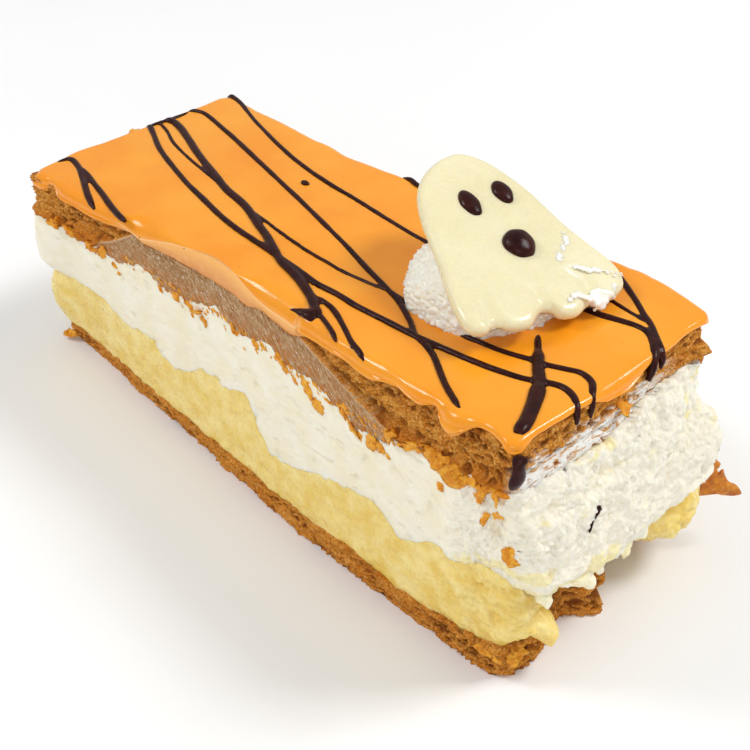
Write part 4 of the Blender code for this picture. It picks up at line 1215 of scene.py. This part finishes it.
# Scraps of crust: place, half sizes, thickness, and turns in degrees about Z and then about their length.
CRUST_SCRAPS = (
    ((65.2, -21.0, 4.2), (3.4, 1.9), 0.5, 65.0, 45.0),
    ((65.4, -16.8, 5.8), (3.0, 1.7), 0.5, 100.0, 50.0),
    ((62.4, -24.2, 5.6), (3.4, 1.5), 0.5, 8.0, 60.0),
    ((64.6, -21.6, 1.8), (2.8, 1.7), 0.5, 50.0, 40.0),
    ((65.8, -13.6, 3.8), (2.4, 1.3), 0.4, 84.0, 65.0),
    ((-67.2, -22.0, 1.4), (1.8, 1.3), 0.9, 10.0, 20.0),
    ((-67.7, 1.0, 43.0), (2.4, 0.9), 0.6, 90.0, 10.0),
)

# The large flake behind the filling, as Y and Z seen from the torn end, and the small one above it.
LARGE_FLAKE = (
    (-5.6, -0.6), (-2.6, -0.4), (0.0, 0.0), (2.4, 0.3), (4.9, 0.9), (7.4, 0.3), (9.0, 0.6), (8.2, 2.2),
    (6.6, 3.4), (5.6, 4.8), (5.0, 6.4), (4.2, 5.9), (3.4, 7.8), (2.6, 7.2), (2.0, 5.6), (0.4, 5.0),
    (-2.4, 4.2), (-5.4, 3.6),
)
SMALL_FLAKE = (
    (-3.6, -2.8), (0.4, -2.2), (1.8, -0.4), (2.9, -0.8), (3.2, 0.2), (2.2, 1.4), (1.9, 2.8), (0.9, 3.2),
    (-0.2, 1.4), (-3.4, 0.2),
)
LARGE_FLAKE_AT, SMALL_FLAKE_AT = (65.4, 26.6, 9.8), (66.4, 27.6, 17.6)
LARGE_FLAKE_SCALE, FLAKE_TURN = 1.05, 47.0


def torn_sheet(outline, place, turn, lean, seed):
    """Points and faces of a bumpy piece of crust with this outline, stood at place."""
    edge = closed_curve(outline, 5)

    def height(flat, share, facing):
        spot = np.column_stack((flat, np.full(len(flat), float(seed))))
        thick = 0.55 * np.sqrt(1 - share**6) * (1 + 0.6 * noise(spot, 1.1, seed + facing))
        return facing * thick + 0.6 * noise(spot, 2.0, seed + 5)

    points, faces = leaf(edge, edge.mean(axis=0), 12, height)
    stand = turned(turn, "Z") @ turned(90 + lean, "X")
    return points @ np.array(stand).T + place, faces


def crust_scraps(material, golden):
    """Loose flakes: the large one behind the filling, and smaller ones where the sheets are torn."""
    large = [
        torn_sheet(np.array(LARGE_FLAKE) * LARGE_FLAKE_SCALE, LARGE_FLAKE_AT, FLAKE_TURN, 0.0, 1610),
        torn_sheet(SMALL_FLAKE, SMALL_FLAKE_AT, FLAKE_TURN, 5.0, 1620),
    ]
    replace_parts(gather("large_crust_flake", large, material), "crust_flake")
    flakes = []
    for number, (place, size, thickness, turn, lean) in enumerate(CRUST_SCRAPS):
        frame = turned(turn, "Z") @ turned(lean, "X")
        flakes.append(scrap(place, size, thickness, frame, 1700 + 9 * number))
    gather("crust_scraps", flakes, golden)


# Strands of cream on the ghost's face, as X and Y in its own plane with the strand's radius.
GHOST_STRANDS = (
    ((10.6, -8.4, 0.45), (10.1, -10.3, 0.35), (8.1, -12.2, 0.3), (7.0, -13.9, 0.42)),
    ((8.4, -15.9, 0.3), (11.2, -17.1, 0.42), (13.9, -18.4, 0.3), (16.0, -19.6, 0.2)),
    ((3.8, -22.4, 0.3), (6.2, -22.0, 0.5), (7.4, -23.0, 0.35)),
)
HEM_LUMPS = 80


def ghost_cream(material):
    """Bits of cream that stuck to the ghost's face and to its hem."""
    spots = np.random.default_rng(11)
    lumps = []
    for strand in GHOST_STRANDS:
        path = spline(strand, 0.35)
        for number, (x, y, radius) in enumerate(path):
            size = radius * spots.uniform(0.8, 1.7)
            points, faces = blob((0, 0, 0), (size, size, 0.45 * size), 7)
            points += (x + spots.normal(0, 0.25), y + spots.normal(0, 0.25), GHOST_FACE_LEVEL)
            lumps.append((to_slice(points), faces))
    for number in range(HEM_LUMPS):
        along = spots.uniform(0, 1)
        x = 8.4 + 4.6 * along + spots.normal(0, 0.5)
        y = -22.9 + 1.2 * along + spots.normal(0, 0.6)
        size = spots.uniform(0.35, 1.0) * (1 - 0.4 * abs(along - 0.4))
        points, faces = blob((0, 0, 0), (size, size * 0.8, size * 0.7), 8)
        points += 0.25 * points * noise(points + number, 0.8, 1900 + number)[:, None]
        lumps.append((to_slice(points + (x, y, spots.uniform(-0.6, 1.2))), faces))
    fuse(gather("hem_cream", lumps, material), HEM_CELL, 1)


def colour(red, green, blue):
    """The linear colour, with full alpha, of a screen colour."""
    shares = (value / 255 for value in (red, green, blue))
    return (*(c / 12.92 if c <= 0.04045 else ((c + 0.055) / 1.055) ** 2.4 for c in shares), 1.0)


class Paint:
    """A material's nodes, made by short calls. Lengths are in millimetres."""

    def __init__(self, name, roughness, **sockets):
        self.material = bpy.data.materials.new(name)
        self.material.use_nodes = True
        self.nodes = self.material.node_tree.nodes
        self.links = self.material.node_tree.links
        self.shader = self.nodes["Principled BSDF"]
        self.shader.inputs["Roughness"].default_value = roughness
        for socket, value in sockets.items():
            self.shader.inputs[socket.replace("_", " ")].default_value = value
        self.place = self.nodes.new("ShaderNodeTexCoord").outputs["Object"]

    def feed(self, socket, value):
        """Links a node's output to a socket, or sets the socket to a plain value."""
        if isinstance(value, bpy.types.NodeSocket):
            self.links.new(value, socket)
        else:
            socket.default_value = value

    def coordinates(self, size, turn):
        """The place in the slice, measured in sizes along each axis, first turned about Y."""
        turned = self.nodes.new("ShaderNodeMapping")
        turned.vector_type = "POINT"
        turned.inputs["Rotation"].default_value = (0.0, math.radians(turn), 0.0)
        self.feed(turned.inputs["Vector"], self.place)
        scaled = self.nodes.new("ShaderNodeMapping")
        scaled.inputs["Scale"].default_value = tuple(1000.0 / s for s in size)
        self.feed(scaled.inputs["Vector"], turned.outputs["Vector"])
        return scaled.outputs["Vector"]

    def noise(self, size, detail=3.0, turn=0.0, roughness=0.55):
        """Noise whose features are about size across."""
        size = size if isinstance(size, tuple) else (size,) * 3
        node = self.nodes.new("ShaderNodeTexNoise")
        node.inputs["Scale"].default_value = 1.0
        node.inputs["Detail"].default_value = detail
        node.inputs["Roughness"].default_value = roughness
        self.feed(node.inputs["Vector"], self.coordinates(size, turn))
        return node.outputs["Fac"]

    def cells(self, size):
        """How far each place is from the middle of its cell."""
        node = self.nodes.new("ShaderNodeTexVoronoi")
        node.inputs["Scale"].default_value = 1.0
        self.feed(node.inputs["Vector"], self.coordinates((size,) * 3, 0.0))
        return node.outputs["Distance"]

    def mark(self, name):
        """What the mesh is marked with."""
        node = self.nodes.new("ShaderNodeAttribute")
        node.attribute_name = name
        return node.outputs["Fac"]

    def span(self, value, low, high, to_low=0.0, to_high=1.0):
        """value, mapped so that low becomes to_low and high becomes to_high."""
        node = self.nodes.new("ShaderNodeMapRange")
        self.feed(node.inputs["Value"], value)
        limits = {"From Min": low, "From Max": high, "To Min": to_low, "To Max": to_high}
        for socket, number in limits.items():
            node.inputs[socket].default_value = number
        return node.outputs["Result"]

    def maths(self, operation, a, b):
        """The sum or the product of two values."""
        node = self.nodes.new("ShaderNodeMath")
        node.operation = operation
        self.feed(node.inputs[0], a)
        self.feed(node.inputs[1], b)
        return node.outputs[0]

    def mix(self, factor, a, b):
        """A mix of two shades, each given as a screen colour or as another mix."""
        node = self.nodes.new("ShaderNodeMix")
        node.data_type = "RGBA"
        self.feed(node.inputs["Factor"], factor)
        for socket, shade in (("A", a), ("B", b)):
            self.feed(node.inputs[socket], colour(*shade) if isinstance(shade, tuple) else shade)
        return next(o for o in node.outputs if o.type == "RGBA")

    def mottle(self, size, detail, dark, light, low=0.35, high=0.65, turn=0.0):
        """Two shades, mixed by noise of this size."""
        return self.mix(self.span(self.noise(size, detail, turn), low, high), dark, light)

    def fleck(self, base, shade, size, detail, low, high, share=1.0, turn=0.0):
        """base, with a shade where noise of this size is high."""
        return self.mix(self.span(self.noise(size, detail, turn), low, high, 0.0, share), base, shade)

    def tint(self, base, shade, name, share):
        """base, with a shade where the mesh is marked."""
        return self.mix(self.maths("MULTIPLY", self.mark(name), share), base, shade)

    def bump(self, height, depth):
        """Gives the surface fine relief of this depth."""
        node = self.nodes.new("ShaderNodeBump")
        node.inputs["Strength"].default_value = 1.0
        node.inputs["Distance"].default_value = depth * MM
        self.feed(node.inputs["Height"], height)
        self.feed(self.shader.inputs["Normal"], node.outputs["Normal"])

    def finish(self, base, roughness=None):
        """The material, once its colour and any uneven roughness are linked."""
        self.feed(self.shader.inputs["Base Color"], base)
        if roughness is not None:
            self.feed(self.shader.inputs["Roughness"], roughness)
        return self.material


def crust_paint():
    """Baked crumb, glazed crust, and what the knife wiped to a grey-brown film."""
    p = Paint("crust", 0.75, Specular_IOR_Level=0.15)
    speck = p.noise(0.45, 4.0)
    base = p.mottle(4.0, 4.0, (206, 124, 30), (230, 158, 62))
    base = p.mix(p.span(speck, 0.5, 0.72), base, (244, 196, 116))
    base = p.mix(p.span(speck, 0.48, 0.3, 0.0, 0.7), base, (132, 70, 14))
    base = p.fleck(base, (160, 92, 22), (5.0, 5.0, 0.5), 3.0, 0.5, 0.7, 0.5)
    base = p.tint(base, (208, 118, 14), "glaze", 0.7)
    # Painted shade: darker brown in the crumb's gaps and hollows and in its shadowed recesses.
    base = p.mix(p.span(p.mark("hollow"), 0.1, 0.9, 0.0, 0.9), base, (116, 54, 6))
    # The wiped film: pale dashes along the wipe on a grey-brown ground, with sheets that show through.
    film = p.mottle((1.8, 1.8, 0.5), 4.0, (162, 112, 60), (200, 164, 122), turn=WIPE_TURN)
    height = p.mark("height")
    sheets = p.span(p.noise((7.0, 7.0, 0.45), 4.0), 0.48, 0.62)
    sheets = p.maths("MULTIPLY", sheets, p.span(height, 0.35, 0.8))
    film = p.mix(p.maths("MULTIPLY", sheets, 0.75), film, (122, 80, 28))
    film = p.fleck(film, (240, 224, 204), (0.9, 0.9, 0.2), 2.0, 0.58, 0.66, 0.8, WIPE_TURN)
    film = p.fleck(film, (150, 86, 26), (1.0, 1.0, 0.35), 3.0, 0.58, 0.68, 0.8, WIPE_TURN)
    foot = p.span(p.noise((1.6, 1.6, 0.6), 4.0, WIPE_TURN), 0.46, 0.6)
    foot = p.maths("MULTIPLY", p.span(height, 0.45, 0.0), foot)
    film = p.mix(p.maths("MULTIPLY", foot, 0.9), film, (198, 112, 24))
    base = p.mix(p.span(p.mark("wiped"), 0.7, 0.95), base, film)
    base = p.tint(base, (222, 196, 164), "brink", 0.7)
    base = p.tint(base, (206, 158, 100), "cream", 0.7)
    base = p.tint(base, (250, 250, 244), "cream", p.span(p.noise((0.5, 2.6, 0.4), 3.0), 0.38, 0.5))
    p.bump(p.maths("ADD", speck, p.maths("MULTIPLY", p.noise(0.22, 2.0), 0.5)), 0.4)
    return p.finish(base, p.span(p.mark("glaze"), 0.0, 1.0, 0.8, 0.45))


def flake_paint():
    """Caramel-coloured flakes with a slight glaze."""
    p = Paint("caramel_flake", 0.36, Specular_IOR_Level=0.3)
    base = p.mottle(1.3, 4.0, (222, 134, 8), (250, 184, 56))
    base = p.fleck(base, (164, 84, 8), 0.7, 3.0, 0.6, 0.72)
    p.bump(p.noise(0.5, 3.0), 0.35)
    return p.finish(base)


def dark_flake_paint():
    """The large flake: baked darker, with a glaze."""
    p = Paint("baked_flake", 0.36, Specular_IOR_Level=0.4)
    base = p.mottle(1.8, 4.0, (182, 92, 4), (226, 144, 32))
    base = p.fleck(base, (238, 172, 76), 0.7, 3.0, 0.58, 0.72)
    p.bump(p.noise(0.8, 4.0), 0.5)
    return p.finish(base)


def cream_paint(name="whipped_cream", pale=(243, 234, 205), grain_depth=0.16):
    """Whipped cream, faintly stained by custard where the two were torn, with warm painted shade in its
    hollows.
    """
    p = Paint(name, 0.38, Specular_IOR_Level=0.4, Subsurface_Weight=0.4, Subsurface_Scale=0.0016)
    p.shader.inputs["Subsurface Radius"].default_value = (1.0, 0.85, 0.6)
    base = p.mottle(6.0, 3.0, pale, (250, 244, 227), 0.3, 0.7)
    base = p.tint(base, (249, 242, 225), "loose", 0.7)
    base = p.tint(base, (250, 230, 144), "stain", 0.6)
    # Painted shade: a warm tint in the hollows.
    base = p.mix(p.span(p.mark("hollow"), 0.1, 1.0, 0.0, 0.3), base, (252, 230, 178))
    strokes = p.maths("MULTIPLY", p.noise((2.6, 2.6, 0.5), 2.0, WIPE_TURN), 0.6)
    pores = p.maths("MULTIPLY", p.mark("loose"), p.span(p.cells(1.0), 0.0, 0.6, 0.0, 1.2))
    p.bump(p.maths("ADD", p.maths("ADD", p.noise(0.8, 2.0), strokes), pores), grain_depth)
    return p.finish(base)


def custard_paint():
    """Custard, moist and a little uneven in colour, with painted shade in its hollows."""
    p = Paint("custard", 0.34, Specular_IOR_Level=0.45, Subsurface_Weight=0.2, Subsurface_Scale=0.0015)
    p.shader.inputs["Subsurface Radius"].default_value = (1.0, 0.75, 0.3)
    base = p.mottle(4.0, 4.0, (233, 200, 98), (246, 224, 146))
    # Painted shade: deeper yellow in the hollows.
    base = p.mix(p.span(p.mark("hollow"), 0.1, 0.9, 0.0, 0.6), base, (232, 194, 84))
    p.bump(p.maths("ADD", p.noise(1.8, 1.0), p.noise((4.0, 4.0, 1.4), 1.0, WIPE_TURN)), 0.2)
    return p.finish(base, p.span(p.noise(1.0, 1.0), 0.35, 0.65, 0.2, 0.42))


def icing_paint():
    """Poured orange icing, paler along its rim and where it is cut, with a painted highlight on the cut's
    crest.
    """
    p = Paint("orange_icing", 0.2, Specular_IOR_Level=0.35, Coat_Weight=0.12, Coat_Roughness=0.08,
              Subsurface_Weight=0.15, Subsurface_Scale=0.0012)
    p.shader.inputs["Subsurface Radius"].default_value = (1.0, 0.5, 0.2)
    base = p.mottle(16.0, 2.0, (244, 150, 22), (249, 163, 40))
    base = p.fleck(base, (236, 128, 14), 3.0, 3.0, 0.68, 0.8, 0.5)
    base = p.fleck(base, (186, 84, 6), 1.0, 1.0, 0.8, 0.84, 0.6)
    base = p.mix(p.span(p.mark("low"), 0.3, 1.0, 0.0, 0.7), base, (250, 176, 92))
    cut = p.mix(p.span(p.mark("low"), 0.1, 0.95), (252, 184, 88), (218, 138, 62))
    cut = p.fleck(cut, (252, 192, 116), (2.2, 2.2, 0.6), 3.0, 0.52, 0.7, 0.45)
    base = p.mix(p.mark("cut"), base, cut)
    # Painted highlight: a pale line along the crest of the cut.
    base = p.tint(base, (254, 214, 156), "crest_highlight", 0.8)
    p.bump(p.noise(7.0, 2.0), 0.1)
    return p.finish(base, p.span(p.noise(3.0, 3.0), 0.4, 0.7, 0.12, 0.26))


def chocolate_paint():
    """Dark chocolate with a soft shine."""
    p = Paint("dark_chocolate", 0.3, Specular_IOR_Level=0.14)
    base = p.mottle(2.5, 3.0, (36, 12, 12), (60, 24, 18), 0.3, 0.7)
    p.bump(p.noise(0.8, 3.0), 0.05)
    return p.finish(base, p.span(p.noise(1.2, 3.0), 0.35, 0.7, 0.2, 0.36))


def white_chocolate_paint():
    """White chocolate with glossier patches, finely speckled, and smeared with cream at the hem."""
    p = Paint("white_chocolate", 0.34, Specular_IOR_Level=0.4, Subsurface_Weight=0.35,
              Subsurface_Scale=0.002, Coat_Weight=0.12, Coat_Roughness=0.15)
    p.shader.inputs["Subsurface Radius"].default_value = (1.0, 0.8, 0.4)
    base = p.mottle(14.0, 2.0, (231, 221, 178), (238, 230, 192), 0.3, 0.7)
    base = p.fleck(base, (252, 248, 226), 0.45, 2.0, 0.55, 0.75, 0.3)
    base = p.mix(p.mark("smear"), base, (252, 251, 246))
    p.bump(p.noise(0.6, 3.0), 0.05)
    return p.finish(base, p.span(p.noise(3.0, 2.0), 0.45, 0.6, 0.2, 0.44))


def floor_paint():
    """A pale floor, hardly uneven."""
    p = Paint("floor", 0.9)
    return p.finish(p.mix(p.noise(60.0, 2.0), (244, 244, 244), (248, 248, 248)))


def camera():
    """The photograph's view."""
    data = bpy.data.cameras.new("camera")
    data.lens, data.sensor_width = LENS, SENSOR
    data.clip_start, data.clip_end = 0.01, 10.0
    made = bpy.data.objects.new("camera", data)
    look = turned(CAMERA_AZIMUTH, "Z", 4) @ turned(90.0 - CAMERA_ELEVATION, "X", 4)
    look = look @ turned(CAMERA_ROLL, "Z", 4)
    made.matrix_world = Matrix.Translation(Vector(CAMERA_AT) * MM) @ look
    bpy.context.scene.collection.objects.link(made)
    bpy.context.scene.camera = made


def softbox(name, place, size, watts):
    """A square white light that faces the slice."""
    data = bpy.data.lights.new(name, "AREA")
    data.size, data.energy = size, watts
    made = bpy.data.objects.new(name, data)
    made.location = place
    made.rotation_euler = (Vector(LIGHTS_AIM) - Vector(place)).to_track_quat("-Z", "Y").to_euler()
    bpy.context.scene.collection.objects.link(made)


def studio():
    """A pale floor and soft light from above and from the torn end."""
    floor = bpy.data.meshes.new("floor")
    corners = ((-1, -1), (1, -1), (1, 1), (-1, 1))
    floor.from_pydata([(x * FLOOR_REACH, y * FLOOR_REACH, 0) for x, y in corners], [], [(0, 1, 2, 3)])
    floor.materials.append(floor_paint())
    made = bpy.data.objects.new("floor", floor)
    bpy.context.scene.collection.objects.link(made)
    world = bpy.data.worlds.new("studio")
    world.use_nodes = True
    sky = world.node_tree.nodes["Background"].inputs
    sky["Color"].default_value = (1.0, 1.0, 1.0, 1.0)
    sky["Strength"].default_value = SKY_STRENGTH
    bpy.context.scene.world = world
    for light in LIGHTS:
        softbox(*light)
    bpy.context.scene.view_settings.view_transform = "Standard"


def main():
    """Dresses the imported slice."""
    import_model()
    camera()
    studio()
    crust, flake, white, chocolate = crust_paint(), flake_paint(), cream_paint(), chocolate_paint()
    rim = Rim()
    waves = edge_waves(rim)
    ground = Ground([
        bottom_pastry(rim, waves, crust),
        custard(rim, waves, custard_paint()),
        whipped_cream(rim, waves, white),
        top_pastry(rim, waves, crust),
        icing(rim, icing_paint()),
    ])
    drizzle(chocolate)
    dollop(cream_paint("piped_cream", (254, 251, 238), 0.15))
    ghost(white_chocolate_paint())
    ghost_face(chocolate)
    ghost_cream(cream_paint("clinging_cream", (254, 252, 244), 0.04))
    crumbs(ground, flake)
    tatters(cream_paint("stained_cream", (246, 234, 188), 0.16))
    chocolate_splinter(ground, chocolate)
    crust_scraps(dark_flake_paint(), flake)


main()
